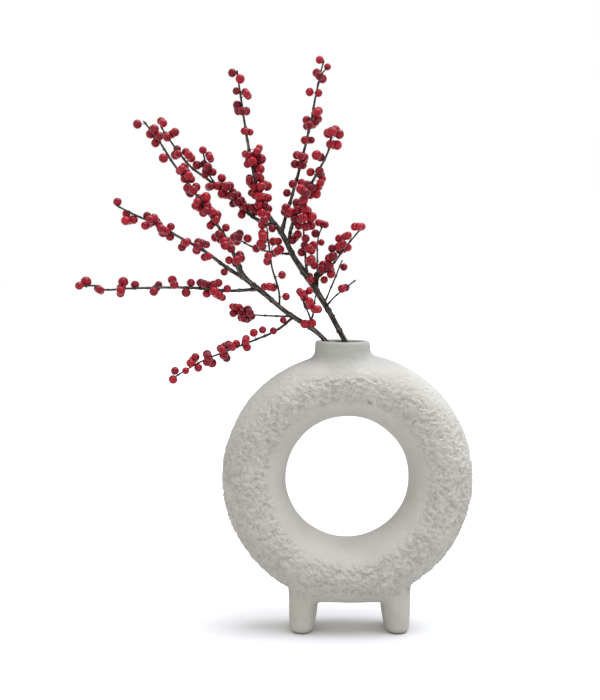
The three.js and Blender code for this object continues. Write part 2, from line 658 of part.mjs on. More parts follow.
// The whole arrangement stands with its base at height 0 and the middle of its extent on the Z axis.
const hollyBranchInVase = new THREE.Group();
hollyBranchInVase.add(vase, branches);
const extent = new THREE.Box3().setFromObject(hollyBranchInVase);
const middle = extent.getCenter(new THREE.Vector3());
hollyBranchInVase.position.set(-middle.x, -middle.y, -extent.min.z);

export default hollyBranchInVase;
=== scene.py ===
"""Cut winterberry branches with red berries, standing in a ring-shaped stoneware vase on two feet.

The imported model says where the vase, the stems and the sprays stand. Each class below makes one of them as a
fine mesh in that place and dresses it. Lengths are in millimetres, measured from the point under the middle
of the vase's ring, until a mesh is handed over. X runs along the ring, Z is up, and the front looks along -Y.
"""

import functools
import itertools
import logging
import math
from collections.abc import Mapping, Sequence
from dataclasses import dataclass
from enum import Enum
from typing import Any

import bpy
import numpy as np
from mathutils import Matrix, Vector


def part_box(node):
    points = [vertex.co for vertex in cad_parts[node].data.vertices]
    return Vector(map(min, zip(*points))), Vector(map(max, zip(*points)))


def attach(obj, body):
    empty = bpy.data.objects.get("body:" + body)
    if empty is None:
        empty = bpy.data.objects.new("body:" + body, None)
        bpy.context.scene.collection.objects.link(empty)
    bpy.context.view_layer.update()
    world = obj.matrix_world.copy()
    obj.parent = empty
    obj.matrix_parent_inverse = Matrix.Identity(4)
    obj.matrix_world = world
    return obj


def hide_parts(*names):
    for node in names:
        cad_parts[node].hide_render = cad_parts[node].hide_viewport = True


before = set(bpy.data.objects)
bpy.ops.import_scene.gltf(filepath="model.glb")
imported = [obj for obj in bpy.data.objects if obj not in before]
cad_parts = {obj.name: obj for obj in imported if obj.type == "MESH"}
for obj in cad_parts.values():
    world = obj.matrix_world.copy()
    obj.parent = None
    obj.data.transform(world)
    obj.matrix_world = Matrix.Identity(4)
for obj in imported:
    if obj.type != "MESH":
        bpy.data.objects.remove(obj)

LOG = logging.getLogger("winterberry_in_ring_vase")
MM = 0.001
BODY = "root"

Colour = tuple[float, float, float, float]
Pair = tuple[float, float]
Triple = tuple[float, float, float]


def ring_middle() -> np.ndarray:
    """Finds the point on the ground under the middle of the vase's ring, in the frame's own millimetres."""
    low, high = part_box("vase")
    return np.array([(low.x + high.x) / 2, (low.y + high.y) / 2, 0.0]) / MM


MIDDLE = ring_middle()


def lerp(start: Any, end: Any, share: Any) -> Any:
    """Goes from start to end by a share from 0 to 1."""
    return (1 - share) * start + share * end


def smooth(low: float, high: float, value: np.ndarray) -> np.ndarray:
    """Rises softly from 0 at low to 1 at high."""
    share = np.clip((value - low) / (high - low), 0, 1)
    return share * share * (3 - 2 * share)


def unit(vectors: np.ndarray) -> np.ndarray:
    """Brings each vector to length 1."""
    return vectors / np.linalg.norm(vectors, axis=-1, keepdims=True)


def soft_max(a: np.ndarray, b: np.ndarray, reach: float) -> np.ndarray:
    """Takes the larger of two fields, with a rounded edge where they lie within a reach of each other."""
    melt = np.maximum(reach - np.abs(a - b), 0) / reach
    return np.maximum(a, b) + melt * melt * reach / 4


def soft_min(a: np.ndarray, b: np.ndarray, reach: float) -> np.ndarray:
    """Takes the smaller of two fields, with a fillet where they meet."""
    return -soft_max(-a, -b, reach)


class Noise:
    """Smooth noise in space, from about -1 to 1, that repeats after a block of lattice cells."""

    BLOCK = 32
    GAIN = 1.6

    def __init__(self, seed: int) -> None:
        """Draws a direction for each lattice point of the block, the same ones for the same seed."""
        draw = np.random.default_rng(seed)
        self._slopes = unit(draw.normal(size=(self.BLOCK, self.BLOCK, self.BLOCK, 3)))

    def __call__(self, points: np.ndarray) -> np.ndarray:
        """Gives the noise at points measured in lattice cells.

        Args:
            points: The points, one row each.

        Returns:
            One value for each point.
        """
        cell = np.floor(points).astype(int)
        inner = points - cell
        ease = inner**3 * (inner * (inner * 6 - 15) + 10)
        total = np.zeros(len(points))
        for corner in itertools.product((0, 1), repeat=3):
            slope = self._slopes[tuple(((cell + corner) % self.BLOCK).T)]
            weight = np.where(corner, ease, 1 - ease).prod(axis=1)
            total += weight * np.einsum("ij,ij->i", slope, inner - corner)
        return total * self.GAIN


@dataclass
class Shape:
    """A mesh in the making.

    Attributes:
        corners: One row for each corner, in millimetres.
        faces: The corner numbers of each face.
        marks: Values that the finish reads, by name, with one row for each corner.
    """

    corners: np.ndarray
    faces: list[tuple[int, ...]]
    marks: dict[str, np.ndarray]

    @staticmethod
    def joined(shapes: Sequence["Shape"]) -> "Shape":
        """Puts several shapes with the same marks into one.

        Args:
            shapes: The shapes to join.

        Returns:
            One shape that holds them all.
        """
        faces: list[tuple[int, ...]] = []
        start = 0
        for shape in shapes:
            faces += [tuple(start + corner for corner in face) for face in shape.faces]
            start += len(shape.corners)
        marks = {name: np.concatenate([s.marks[name] for s in shapes]) for name in shapes[0].marks}
        return Shape(np.concatenate([shape.corners for shape in shapes]), faces, marks)

    def as_object(self, name: str) -> bpy.types.Object:
        """Makes a Blender object of the shape, in its own millimetres.

        Args:
            name: The object's name.

        Returns:
            The object, linked to the scene.
        """
        mesh = bpy.data.meshes.new(name)
        mesh.from_pydata(self.corners.tolist(), [], self.faces)
        made = bpy.data.objects.new(name, mesh)
        bpy.context.scene.collection.objects.link(made)
        return made

    def without(self, tool: "Shape") -> "Shape":
        """Takes another closed shape out of this one.

        Args:
            tool: The closed shape to take out.

        Returns:
            What is left, with no marks.
        """
        body, cutter = self.as_object("cut_body"), tool.as_object("cut_tool")
        cut = body.modifiers.new("cut", "BOOLEAN")
        cut.operation = "DIFFERENCE"
        cut.solver = "MANIFOLD"
        cut.object = cutter
        evaluated = body.evaluated_get(bpy.context.evaluated_depsgraph_get())
        mesh = bpy.data.meshes.new_from_object(evaluated)
        left = Shape(
            np.array([vertex.co for vertex in mesh.vertices], float),
            [tuple(face.vertices) for face in mesh.polygons],
            {},
        )
        for spare in (body.data, cutter.data, mesh):
            bpy.data.meshes.remove(spare)
        return left


class Route:
    """A centripetal Catmull-Rom curve through points, followed by its length."""

    DIVISIONS = 200
    TANGENT_STEP = 1e-4

    def __init__(self, points: Sequence[Sequence[float]]) -> None:
        """Lays the curve.

        Args:
            points: The points that it passes through, in order.
        """
        inner = np.asarray(points, float)
        self._knots = np.vstack([2 * inner[0] - inner[1], inner, 2 * inner[-1] - inner[-2]])
        self._times = np.linspace(0, 1, self.DIVISIONS + 1)
        steps = np.linalg.norm(np.diff(self._place(self._times), axis=0), axis=1)
        self._lengths = np.concatenate([[0.0], np.cumsum(steps)])
        self.length = float(self._lengths[-1])

    def _place(self, times: np.ndarray) -> np.ndarray:
        """Gives points of the curve by its own parameter.

        Args:
            times: The parameter of each point, from 0 to 1.

        Returns:
            The points, one row each.
        """
        spans = len(self._knots) - 3
        share = np.clip(times, 0, 1) * spans
        span = np.minimum(share.astype(int), spans - 1)
        share = (share - span)[:, None]
        before, start, end, after = (self._knots[span + k] for k in range(4))
        gaps = ((before, start), (start, end), (end, after))
        d0, d1, d2 = (np.linalg.norm(b - a, axis=1)[:, None] ** 0.5 for a, b in gaps)
        leave = ((start - before) / d0 - (end - before) / (d0 + d1) + (end - start) / d1) * d1
        arrive = ((end - start) / d1 - (after - start) / (d1 + d2) + (after - end) / d2) * d1
        square = 3 * (end - start) - 2 * leave - arrive
        cube = 2 * (start - end) + leave + arrive
        return start + share * (leave + share * (square + share * cube))

    def _times_at(self, shares: np.ndarray) -> np.ndarray:
        """Turns shares of the length into the curve's own parameter."""
        return np.interp(np.asarray(shares) * self.length, self._lengths, self._times)

    def points(self, shares: np.ndarray) -> np.ndarray:
        """Gives the points at shares of the length, from 0 to 1."""
        return self._place(self._times_at(shares))

    def directions(self, shares: np.ndarray) -> np.ndarray:
        """Gives the way that the curve runs.

        Args:
            shares: The shares of the length, from 0 to 1.

        Returns:
            The unit direction at each of them, one row each.
        """
        times = self._times_at(shares)
        ahead = self._place(np.clip(times + self.TANGENT_STEP, 0, 1))
        return unit(ahead - self._place(np.clip(times - self.TANGENT_STEP, 0, 1)))


@dataclass(frozen=True)
class Side:
    """A small side twig of a spray.

    Attributes:
        at: The distance along the spray where it grows.
        route: Its points as drawn, after the one that it grows from.
        depth: The depth of its tip.
        berries: The place as drawn and the radius of each berry.
    """

    at: float
    route: tuple[Pair, ...]
    depth: float
    berries: tuple[Triple, ...]


@dataclass(frozen=True)
class SprayPlan:
    """How a spray grows.

    Attributes:
        stem: The stem that it grows from.
        route: Its points as drawn, from the stem to its tip.
        depth: The depth of its tip.
        radius: Its radius at both ends.
        berries: The place as drawn and the radius of each berry.
        side: Its side twig.
        withered: Which of its berries have withered.
    """

    stem: str
    route: tuple[Pair, ...]
    depth: float
    radius: Pair
    berries: tuple[Triple, ...]
    side: Side | None = None
    withered: tuple[int, ...] = ()


@dataclass(frozen=True)
class StemPlan:
    """How a stem runs.

    Attributes:
        route: Its points as drawn.
        depths: The depth of each point.
        radius: The radius at both ends that the berries keep clear of.
        girth: Distances along it and its radius there with its bark, which swells below the forks.
    """

    route: tuple[Pair, ...]
    depths: tuple[float, ...]
    radius: Pair
    girth: tuple[Pair, ...]


STEMS = {
    "left_stem": StemPlan(
        route=(
            (24, 221), (12, 248), (-6, 277), (-24, 301), (-37, 313), (-57, 325), (-83, 346), (-108, 368),
            (-112, 379),
        ),
        depths=(-2, -2, -3, -4, -6, -9, -14, -19, -21),
        radius=(2.7, 1.8),
        girth=(
            (0, 2.7), (60, 2.5), (98, 2.45), (112, 2.7), (135, 2.55), (152, 2.3), (160, 2.35), (172, 2.75),
            (182, 2.7), (192, 2.45), (202, 3.1), (215, 2.6),
        ),
    ),
    "right_stem": StemPlan(
        route=(
            (44, 214), (34, 234), (16, 266), (-3, 300), (-17, 326), (-33, 353), (-54, 384), (-69, 412),
            (-79, 424),
        ),
        depths=(0, 3, 10, 19, 23, 27, 31, 33, 34),
        radius=(2.9, 1.9),
        girth=(
            (0, 2.9), (70, 2.8), (110, 2.85), (135, 2.85), (150, 3.2), (160, 3.1), (172, 3.5), (184, 3.4),
            (196, 2.9), (208, 2.75), (222, 2.75), (235, 2.6),
        ),
    ),
}

SPRAYS = {
    "spray_low_left": SprayPlan(
        stem="left_stem",
        route=((-56, 323), (-72, 311), (-99, 299), (-125, 289), (-153, 277), (-175, 264)),
        depth=-46,
        radius=(1.1, 0.6),
        berries=(
            (-66, 321, 3.2), (-76, 310, 3.4), (-87, 311, 3.5), (-96, 308, 3.9), (-104, 302, 3.6),
            (-105, 297, 3.4), (-103, 293, 3.8), (-114, 297, 3.6), (-118, 293, 3.5), (-122, 296, 3.8),
            (-130, 292, 3.8), (-127, 289, 3.4), (-127, 285, 3.9), (-124, 282, 3.8), (-144, 286, 4),
            (-142, 281, 3.7), (-144, 278, 3.9), (-139, 277, 4.3), (-156, 283, 3.9), (-161, 277, 3.8),
            (-153, 272, 3.7), (-166, 269, 3.2), (-177, 269, 3.7), (-179, 260, 4),
        ),
    ),
    "spray_short_left": SprayPlan(
        stem="left_stem",
        route=((-57, 325), (-69, 325), (-91, 326), (-115, 328)),
        depth=20,
        radius=(0.9, 0.6),
        berries=(
            (-98, 325, 3.6), (-103, 322, 4), (-109, 323, 3.5), (-102, 332, 4), (-109, 329, 3.9),
            (-111, 334, 3.8), (-117, 328, 3.8), (-118, 335, 3.2),
        ),
    ),
    "spray_thin_upright": SprayPlan(
        stem="left_stem",
        route=((-69, 336), (-70, 349), (-77, 374), (-80, 394), (-83, 420)),
        depth=-36,
        radius=(0.9, 0.6),
        berries=(
            (-63, 345, 3.7), (-76, 354, 3.7), (-80, 355, 3.8), (-85, 355, 3.5), (-67, 367, 3.7),
            (-82, 381, 3.9), (-81, 386, 3.8), (-87, 396, 3.9), (-89, 399, 3.8), (-86, 403, 3.9),
            (-87, 409, 4.1), (-87, 418, 4.1), (-85, 423, 3.9),
        ),
    ),
    "spray_level_left": SprayPlan(
        stem="left_stem",
        route=(
            (-91, 352), (-123, 351), (-160, 354), (-195, 354), (-228, 353), (-247, 352), (-259, 356),
            (-276, 355),
        ),
        depth=-60,
        radius=(1.4, 0.7),
        berries=(
            (-123, 353, 3.5), (-128, 344, 3.5), (-132, 359, 3.9), (-134, 348, 4.3), (-137, 357, 4),
            (-139, 353, 4.1), (-143, 357, 3.5), (-144, 348, 3.9), (-150, 359, 3.9), (-160, 359, 3.8),
            (-165, 349, 4.2), (-177, 357, 3.9), (-179, 362, 4.1), (-193, 357, 3.4), (-198, 350, 4),
            (-217, 357, 3.8), (-232, 348, 3.7), (-231, 354, 4.2), (-229, 360, 4.6), (-252, 351, 3.5),
            (-255, 353, 3.6), (-267, 360, 4.8), (-274, 356, 3.6),
        ),
    ),
    "spray_sloping_left": SprayPlan(
        stem="left_stem",
        route=((-102, 362), (-121, 373), (-147, 392), (-169, 404), (-194, 418), (-221, 430), (-234, 437)),
        depth=-48,
        radius=(1.6, 0.7),
        berries=(
            (-126, 370, 3.4), (-142, 386, 3.5), (-146, 385, 3.6), (-144, 398, 3.5), (-154, 392, 3.9),
            (-152, 400, 4.1), (-163, 401, 3.3), (-166, 399, 4.1), (-169, 395, 3.7), (-181, 406, 4),
            (-180, 416, 3.6), (-185, 412, 3.7), (-188, 410, 4.3), (-192, 418, 3.5), (-197, 425, 3.8),
            (-199, 420, 3.4), (-201, 423, 4), (-204, 427, 3.7), (-206, 417, 3.9), (-218, 423, 4),
            (-226, 422, 4.1), (-225, 429, 3.7), (-234, 441, 3.8),
        ),
    ),
    "spray_upper_left_front": SprayPlan(
        stem="left_stem",
        route=((-112, 379), (-124, 404), (-140, 428), (-159, 455), (-180, 484), (-193, 505), (-206, 521)),
        depth=-6,
        radius=(1.6, 0.7),
        berries=(
            (-109, 384, 4), (-110, 387, 4.2), (-113, 382, 4.1), (-114, 379, 3.8), (-121, 382, 3.7),
            (-119, 394, 4), (-121, 398, 4.1), (-125, 397, 4.1), (-126, 401, 4.3), (-130, 403, 3.7),
            (-131, 408, 4.1), (-135, 405, 4), (-124, 415, 3.7), (-140, 417, 3.7), (-134, 423, 3.8),
            (-133, 428, 4.2), (-138, 431, 3.9), (-141, 434, 3.5), (-147, 430, 4), (-150, 435, 4.1),
            (-155, 437, 3.7), (-144, 441, 3.6), (-144, 446, 4.5), (-151, 445, 3.6), (-154, 456, 4),
            (-160, 450, 4.2), (-163, 455, 4), (-159, 464, 3.8), (-166, 464, 3.6), (-164, 471, 4.1),
            (-171, 472, 3.3), (-166, 476, 4.1), (-187, 485, 4.4), (-195, 500, 3.9), (-191, 507, 4),
            (-200, 509, 4.1), (-196, 514, 4.4), (-213, 519, 4.2),
        ),
    ),
    "spray_between_stems": SprayPlan(
        stem="left_stem",
        route=((-35, 313), (-40, 328), (-44, 336), (-49, 351)),
        depth=-16,
        radius=(0.9, 0.6),
        berries=(
            (-24, 310, 3.8), (-36, 318, 3.8), (-39, 317, 4.1), (-44, 317, 4.1), (-38, 336, 4),
            (-41, 336, 4), (-39, 340, 4), (-43, 341, 4.1), (-46, 347, 3.8), (-44, 348, 3.6),
            (-49, 350, 3.5), (-39, 351, 3.5),
        ),
        side=Side(
            at=8,
            route=((-35, 329), (-33, 345)),
            depth=-12,
            berries=((-30, 332, 3.8), (-34, 332, 3.7)),
        ),
    ),
    "spray_upper_left_back": SprayPlan(
        stem="right_stem",
        route=((-72, 416), (-90, 422), (-110, 437), (-140, 462), (-160, 477), (-176, 497), (-189, 516)),
        depth=52,
        radius=(1.7, 0.7),
        berries=(
            (-77, 414, 3.7), (-94, 431, 4), (-97, 435, 4.2), (-105, 436, 3.8), (-108, 428, 4),
            (-108, 443, 3.6), (-112, 441, 4.3), (-112, 448, 3.9), (-117, 439, 3.6), (-120, 447, 3.6),
            (-117, 451, 4), (-120, 457, 4.5), (-127, 456, 4.4), (-128, 449, 4.3), (-128, 465, 4.2),
            (-133, 457, 4), (-138, 457, 3.6), (-141, 456, 4), (-153, 478, 4.4), (-159, 485, 4.3),
            (-164, 491, 4.1), (-172, 489, 3.8), (-175, 488, 4.5), (-173, 494, 3.8), (-183, 506, 4.3),
            (-185, 508, 3.8), (-178, 509, 4), (-175, 511, 4.2), (-187, 520, 4.1), (-189, 522, 4),
        ),
        side=Side(
            at=78,
            route=((-143, 473), (-147, 493)),
            depth=46,
            berries=(
                (-137, 471, 3.9), (-144, 472, 4.1), (-145, 468, 3.6), (-142, 476, 4.3), (-146, 479, 3.9),
                (-139, 484, 3.5), (-141, 488, 3.6), (-147, 493, 3.8),
            ),
        ),
    ),
    "spray_top_middle": SprayPlan(
        stem="right_stem",
        route=((-79, 424), (-87, 440), (-95, 468), (-102, 503), (-108, 543), (-112, 571)),
        depth=6,
        radius=(1.7, 0.7),
        berries=(
            (-83, 428, 4.2), (-88, 430, 4.4), (-81, 434, 4.1), (-85, 438, 4.1), (-91, 438, 3.9),
            (-90, 443, 3.7), (-86, 446, 3.9), (-81, 445, 3.9), (-94, 448, 4.3), (-98, 450, 3.5),
            (-90, 454, 4.2), (-95, 456, 4.2), (-86, 459, 4.2), (-82, 457, 4.7), (-100, 461, 3.6),
            (-100, 465, 3.6), (-89, 465, 4.1), (-93, 470, 3.8), (-89, 474, 4.4), (-93, 478, 4),
            (-102, 479, 3.7), (-97, 482, 4.3), (-88, 484, 4.8), (-94, 488, 4.3), (-99, 487, 3.7),
            (-104, 489, 3.7), (-90, 495, 3.6), (-99, 511, 3.3), (-105, 512, 3.5), (-103, 532, 4.1),
            (-111, 532, 3.9), (-112, 538, 4.2), (-101, 547, 3.5), (-104, 551, 3.7), (-113, 552, 3.5),
            (-109, 564, 4.3), (-117, 570, 4),
        ),
    ),
    "spray_top_right": SprayPlan(
        stem="right_stem",
        route=((-68, 410), (-59, 440), (-51, 467), (-43, 499), (-37, 524), (-32, 552), (-25, 582)),
        depth=56,
        radius=(1.6, 0.7),
        berries=(
            (-60, 429, 4), (-64, 431, 4.2), (-63, 435, 4.2), (-62, 450, 3.9), (-56, 459, 4.1),
            (-47, 460, 4.1), (-46, 478, 4.1), (-54, 479, 4.1), (-44, 486, 3.9), (-52, 488, 4.1),
            (-37, 503, 3.4), (-44, 503, 3.9), (-42, 517, 3.7), (-36, 519, 4.4), (-42, 523, 4.2),
            (-30, 524, 3.7), (-33, 529, 4), (-30, 532, 4.3), (-30, 550, 3.8), (-39, 551, 4.1),
            (-26, 564, 4.3), (-32, 570, 4.2), (-29, 583, 3.9),
        ),
        side=Side(
            at=162,
            route=((-26, 570), (-21, 575)),
            depth=52,
            berries=((-21, 576, 3.4),),
        ),
    ),
    "spray_right_fork": SprayPlan(
        stem="right_stem",
        route=((-62, 397), (-57, 416), (-46, 444), (-33, 467), (-20, 492), (-17, 506)),
        depth=-6,
        radius=(1.5, 0.8),
        berries=(
            (-56, 402, 3.7), (-51, 408, 4.2), (-50, 417, 4), (-54, 424, 4.2), (-58, 431, 3.9),
            (-50, 433, 4.2), (-52, 440, 4.2), (-38, 448, 4.1), (-32, 449, 4.4), (-37, 455, 4.1),
            (-41, 458, 4.3), (-30, 456, 3.9), (-26, 464, 3.6), (-38, 471, 4), (-29, 472, 4.1),
            (-28, 486, 4.1), (-32, 488, 4.6), (-18, 499, 4), (-11, 498, 4.5), (-20, 510, 4.6),
            (-9, 509, 4.5), (-13, 513, 4.6),
        ),
    ),
    "spray_inner_upright": SprayPlan(
        stem="right_stem",
        route=((-41, 366), (-43, 384), (-45, 415), (-43, 439), (-42, 453)),
        depth=-14,
        radius=(1.1, 0.6),
        berries=(
            (-38, 362, 3.4), (-39, 366, 3.4), (-34, 377, 4.1), (-40, 381, 3.7), (-37, 383, 4.2),
            (-47, 390, 4), (-37, 392, 4), (-40, 394, 4.2), (-35, 397, 4.3), (-44, 397, 3.9),
            (-43, 404, 3.9), (-43, 416, 4.1), (-37, 417, 4), (-38, 424, 4.3), (-48, 424, 4.1),
            (-42, 426, 4.2), (-36, 426, 4.2), (-39, 431, 3.9), (-43, 433, 4.2), (-46, 439, 4.2),
            (-45, 443, 4.3), (-43, 450, 4.4), (-48, 454, 4.4),
        ),
    ),
    "spray_back_upright": SprayPlan(
        stem="right_stem",
        route=((-31, 350), (-31, 374), (-31, 393), (-30, 406), (-26, 416)),
        depth=50,
        radius=(0.9, 0.6),
        berries=(
            (-31, 367, 3.4), (-34, 359, 3.3), (-27, 400, 3.3), (-33, 409, 4.2), (-30, 420, 3.6),
            (-23, 418, 3.6),
        ),
        withered=(0,),
    ),
    "spray_outer_right": SprayPlan(
        stem="right_stem",
        route=((-37, 360), (-18, 375), (-1, 397), (14, 415)),
        depth=2,
        radius=(1.0, 0.6),
        berries=(
            (-24, 362, 3.7), (-17, 368, 4.2), (-26, 373, 4.2), (-25, 377, 4.5), (-30, 378, 3.9),
            (-19, 376, 4.4), (-19, 384, 4.3), (-15, 386, 4.4), (-19, 390, 3.8), (-23, 388, 3.3),
            (-16, 394, 3.9), (-8, 392, 3.8), (-9, 396, 4.1), (-5, 398, 3.9), (0, 395, 3.8), (-9, 404, 3.9),
            (-3, 406, 3.6), (0, 407, 3.8), (7, 416, 3.9), (14, 416, 3.7),
        ),
    ),
    "spray_bare_twig_high": SprayPlan(
        stem="right_stem",
        route=((-24, 338), (-17, 354), (-9, 374), (-6, 381)),
        depth=44,
        radius=(0.8, 0.6),
        berries=((-4, 375, 3.7),),
    ),
    "spray_bare_twig_low": SprayPlan(
        stem="right_stem",
        route=((-22, 335), (-13, 345), (-2, 354), (7, 361)),
        depth=-4,
        radius=(0.8, 0.6),
        berries=((-6, 353, 3.9), (-2, 354, 3.7)),
    ),
    "spray_backward_left": SprayPlan(
        stem="right_stem",
        route=((-57, 388), (-77, 390), (-98, 396), (-114, 405)),
        depth=44,
        radius=(1.0, 0.6),
        berries=(
            (-69, 393, 4.2), (-71, 401, 4), (-76, 401, 4.2), (-75, 389, 3.7), (-93, 394, 4.1),
            (-102, 404, 4.2), (-110, 409, 4), (-113, 401, 4.2), (-116, 405, 4.2), (-120, 401, 4.3),
            (-121, 405, 4.1),
        ),
    ),
}


@dataclass(frozen=True)
class Drawing:
    """The view in which the routes are drawn: points as they show on the ring's middle plane from one eye."""

    eye: Triple = (-48.7, -1111.0, 366.0)
    search_steps: int = 400

    def at_depth(self, place: Sequence[float], depth: float) -> np.ndarray:
        """Moves a drawn point along its line of sight.

        Args:
            place: The point's x and z on the middle plane.
            depth: The y that it gets.

        Returns:
            The point in space.
        """
        eye = np.array(self.eye)
        drawn = np.array([place[0], 0.0, place[1]])
        return (drawn - eye) * (depth - eye[1]) / -eye[1] + eye

    def seen(self, points: np.ndarray) -> np.ndarray:
        """Finds where points in space show on the middle plane.

        Args:
            points: The points, one row each.

        Returns:
            The x and z of each.
        """
        eye = np.array(self.eye)
        share = -eye[1] / (points[:, 1:2] - eye[1])
        return (eye + (points - eye) * share)[:, [0, 2]]

    def nearest_share(self, route: Route, place: Sequence[float]) -> float:
        """Finds the share of a route's length at which it shows nearest to a drawn x and z."""
        places = route.points(np.linspace(0, 1, self.search_steps + 1))
        return float(np.linalg.norm(self.seen(places) - place, axis=1).argmin()) / self.search_steps

    def nearest(self, route: Route, place: Sequence[float]) -> np.ndarray:
        """Finds the point of a route that shows nearest to a drawn x and z."""
        return route.points(np.array([self.nearest_share(route, place)]))[0]

    def stem(self, plan: StemPlan) -> Route:
        """Lays a stem's route."""
        return Route([self.at_depth(place, depth) for place, depth in zip(plan.route, plan.depths)])

    def twig(self, root: np.ndarray, places: Sequence[Sequence[float]], tip_depth: float) -> Route:
        """Lays a twig's route from its root, with its depth going evenly to the tip's.

        Args:
            root: The point on the wood that it grows from.
            places: The drawn points that follow.
            tip_depth: The depth of the last one.

        Returns:
            The route.
        """
        drawn = [self.seen(root[None])[0], *places]
        depths = [lerp(root[1], tip_depth, k / len(places)) for k in range(len(drawn))]
        return Route([self.at_depth(place, depth) for place, depth in zip(drawn, depths)])


def turned(profile: Sequence[Pair], sides: int) -> Shape:
    """Turns a profile round the Z axis, closed at both ends on the axis.

    Args:
        profile: Radius and height of each ring, from the bottom up, with radius 0 first and last.
        sides: How many sides each ring has.

    Returns:
        The turned shape, with no marks.
    """
    angles = np.linspace(0, 2 * math.pi, sides, endpoint=False)
    around = np.column_stack([np.cos(angles), np.sin(angles)])
    rings = [np.column_stack([r * around, np.full(sides, z)]) for r, z in profile[1:-1]]
    ends = [[0.0, 0.0, profile[0][1]], [0.0, 0.0, profile[-1][1]]]
    return Shape(np.vstack([*rings, ends]), ring_faces(len(rings), sides), {})


def ring_faces(rings: int, sides: int) -> list[tuple[int, ...]]:
    """Numbers the faces of a stack of rings with a point at each end.

    Args:
        rings: How many rings there are. Their corners come first, and the points of both ends follow.
        sides: How many corners each ring has.

    Returns:
        The faces, looking outwards where the rings run counter-clockwise about the way that they are stacked.
    """
    index = np.arange(rings * sides).reshape(rings, sides)
    turn = np.roll(index, -1, axis=1)
    walls = np.stack([index[:-1], turn[:-1], turn[1:], index[1:]], axis=-1).reshape(-1, 4)
    first, last = rings * sides, rings * sides + 1
    bottom = [(int(b), int(a), first) for a, b in zip(index[0], turn[0])]
    top = [(int(a), int(b), last) for a, b in zip(index[-1], turn[-1])]
    return [tuple(wall) for wall in walls.tolist()] + bottom + top


def carried_sides(forwards: np.ndarray) -> tuple[np.ndarray, np.ndarray]:
    """Carries a pair of side directions along a curve with as little turning as possible.

    Args:
        forwards: The curve's unit directions.

    Returns:
        Two unit side directions for each of them.
    """
    start = np.array([0.0, 1.0, 0.0]) if abs(forwards[0][1]) < 0.8 else np.array([1.0, 0.0, 0.0])
    sides = []
    for forward in forwards:
        start = unit(start - forward * (start @ forward))
        sides.append(start)
    first = np.array(sides)
    return first, np.cross(forwards, first)


def rays(forwards: np.ndarray, sides: int) -> np.ndarray:
    """Gives the directions that point away from a curve all round it.

    Args:
        forwards: The curve's unit directions.
        sides: How many rays each point has.

    Returns:
        A row of unit rays for each point.
    """
    first, second = carried_sides(forwards)
    angles = np.linspace(0, 2 * math.pi, sides, endpoint=False)
    return np.cos(angles)[None, :, None] * first[:, None] + np.sin(angles)[None, :, None] * second[:, None]


def facing(direction: np.ndarray, spin: float) -> np.ndarray:
    """Makes the turn that brings the Z axis to a direction.

    Args:
        direction: The unit direction.
        spin: The angle turned round the axis first.

    Returns:
        A matrix whose rows are the new X, Y and Z axes.
    """
    first, second = (side[0] for side in carried_sides(direction[None]))
    across = math.cos(spin) * first + math.sin(spin) * second
    return np.array([across, np.cross(direction, across), direction])


class Vigour(Enum):
    """How a berry has fared, with the mark that its skin takes."""

    RIPE = 0.0
    WITHERED = 1.0


class Age(Enum):
    """How old a length of wood is, with the mark that its bark takes."""

    YOUNG = 0.6
    GROWN = 0.85
    OLD = 1.0


@dataclass(frozen=True)
class Berry:
    """One berry on its stalk.

    Attributes:
        along: The distance along the twig where its stalk starts.
        root: The point in the middle of the twig there.
        centre: The middle of the berry.
        radius: The berry's radius.
        vigour: How it has fared.
        tone: A number from 0 to 1 for its own colour.
    """

    along: float
    root: np.ndarray
    centre: np.ndarray
    radius: float
    vigour: Vigour
    tone: float

    def out(self) -> np.ndarray:
        """Gives the direction from the twig out to the berry."""
        return unit(self.centre - self.root)


class Bead(Enum):
    """What a bead in the thicket stands for, with the gap that a berry keeps from those of its own spray."""

    WOOD = 0.0
    BERRY = 0.15
    STALK = -math.inf


@dataclass(frozen=True)
class BerryRule:
    """The rule that hangs berries, as in the solid model: each on the shortest stalk that has room.

    Attributes:
        stalks: The lengths of stalk that it tries, from the twig's bark to the berry.
        stalk_places: The shares of a stalk's length where it must have room.
        stalk_radius: The room that a stalk needs about it.
        front_share: A berry that shows nearer to the twig than this share of its reach tries the front first.
        root_depth: How far before the twig's tip the last stalk grows.
        cluster_reach: Two berries that show closer than this have a hidden one between them.
        crossing_gap: The gap between a berry and what belongs to another spray.
        bead_step: The distance between two beads of wood.
        tone_seed: The seed of the berries' tones.
    """

    stalks: tuple[float, ...] = (0.5, 1.5, 2.5, 4.0, 5.5, 7.5)
    stalk_places: tuple[float, ...] = (0.45, 0.6, 0.75)
    stalk_radius: float = 0.55
    front_share: float = 0.5
    root_depth: float = 2.0
    cluster_reach: float = 9.0
    crossing_gap: float = 0.8
    bead_step: float = 2.0
    tone_seed: int = 5


@dataclass(frozen=True)
class Twig:
    """One twig.

    Attributes:
        route: The way it runs.
        radius: Its radius at both ends.
        berries: The place as drawn and the radius of each berry.
        withered: Which of its berries have withered.
    """

    route: Route
    radius: Pair
    berries: tuple[Triple, ...]
    withered: tuple[int, ...] = ()


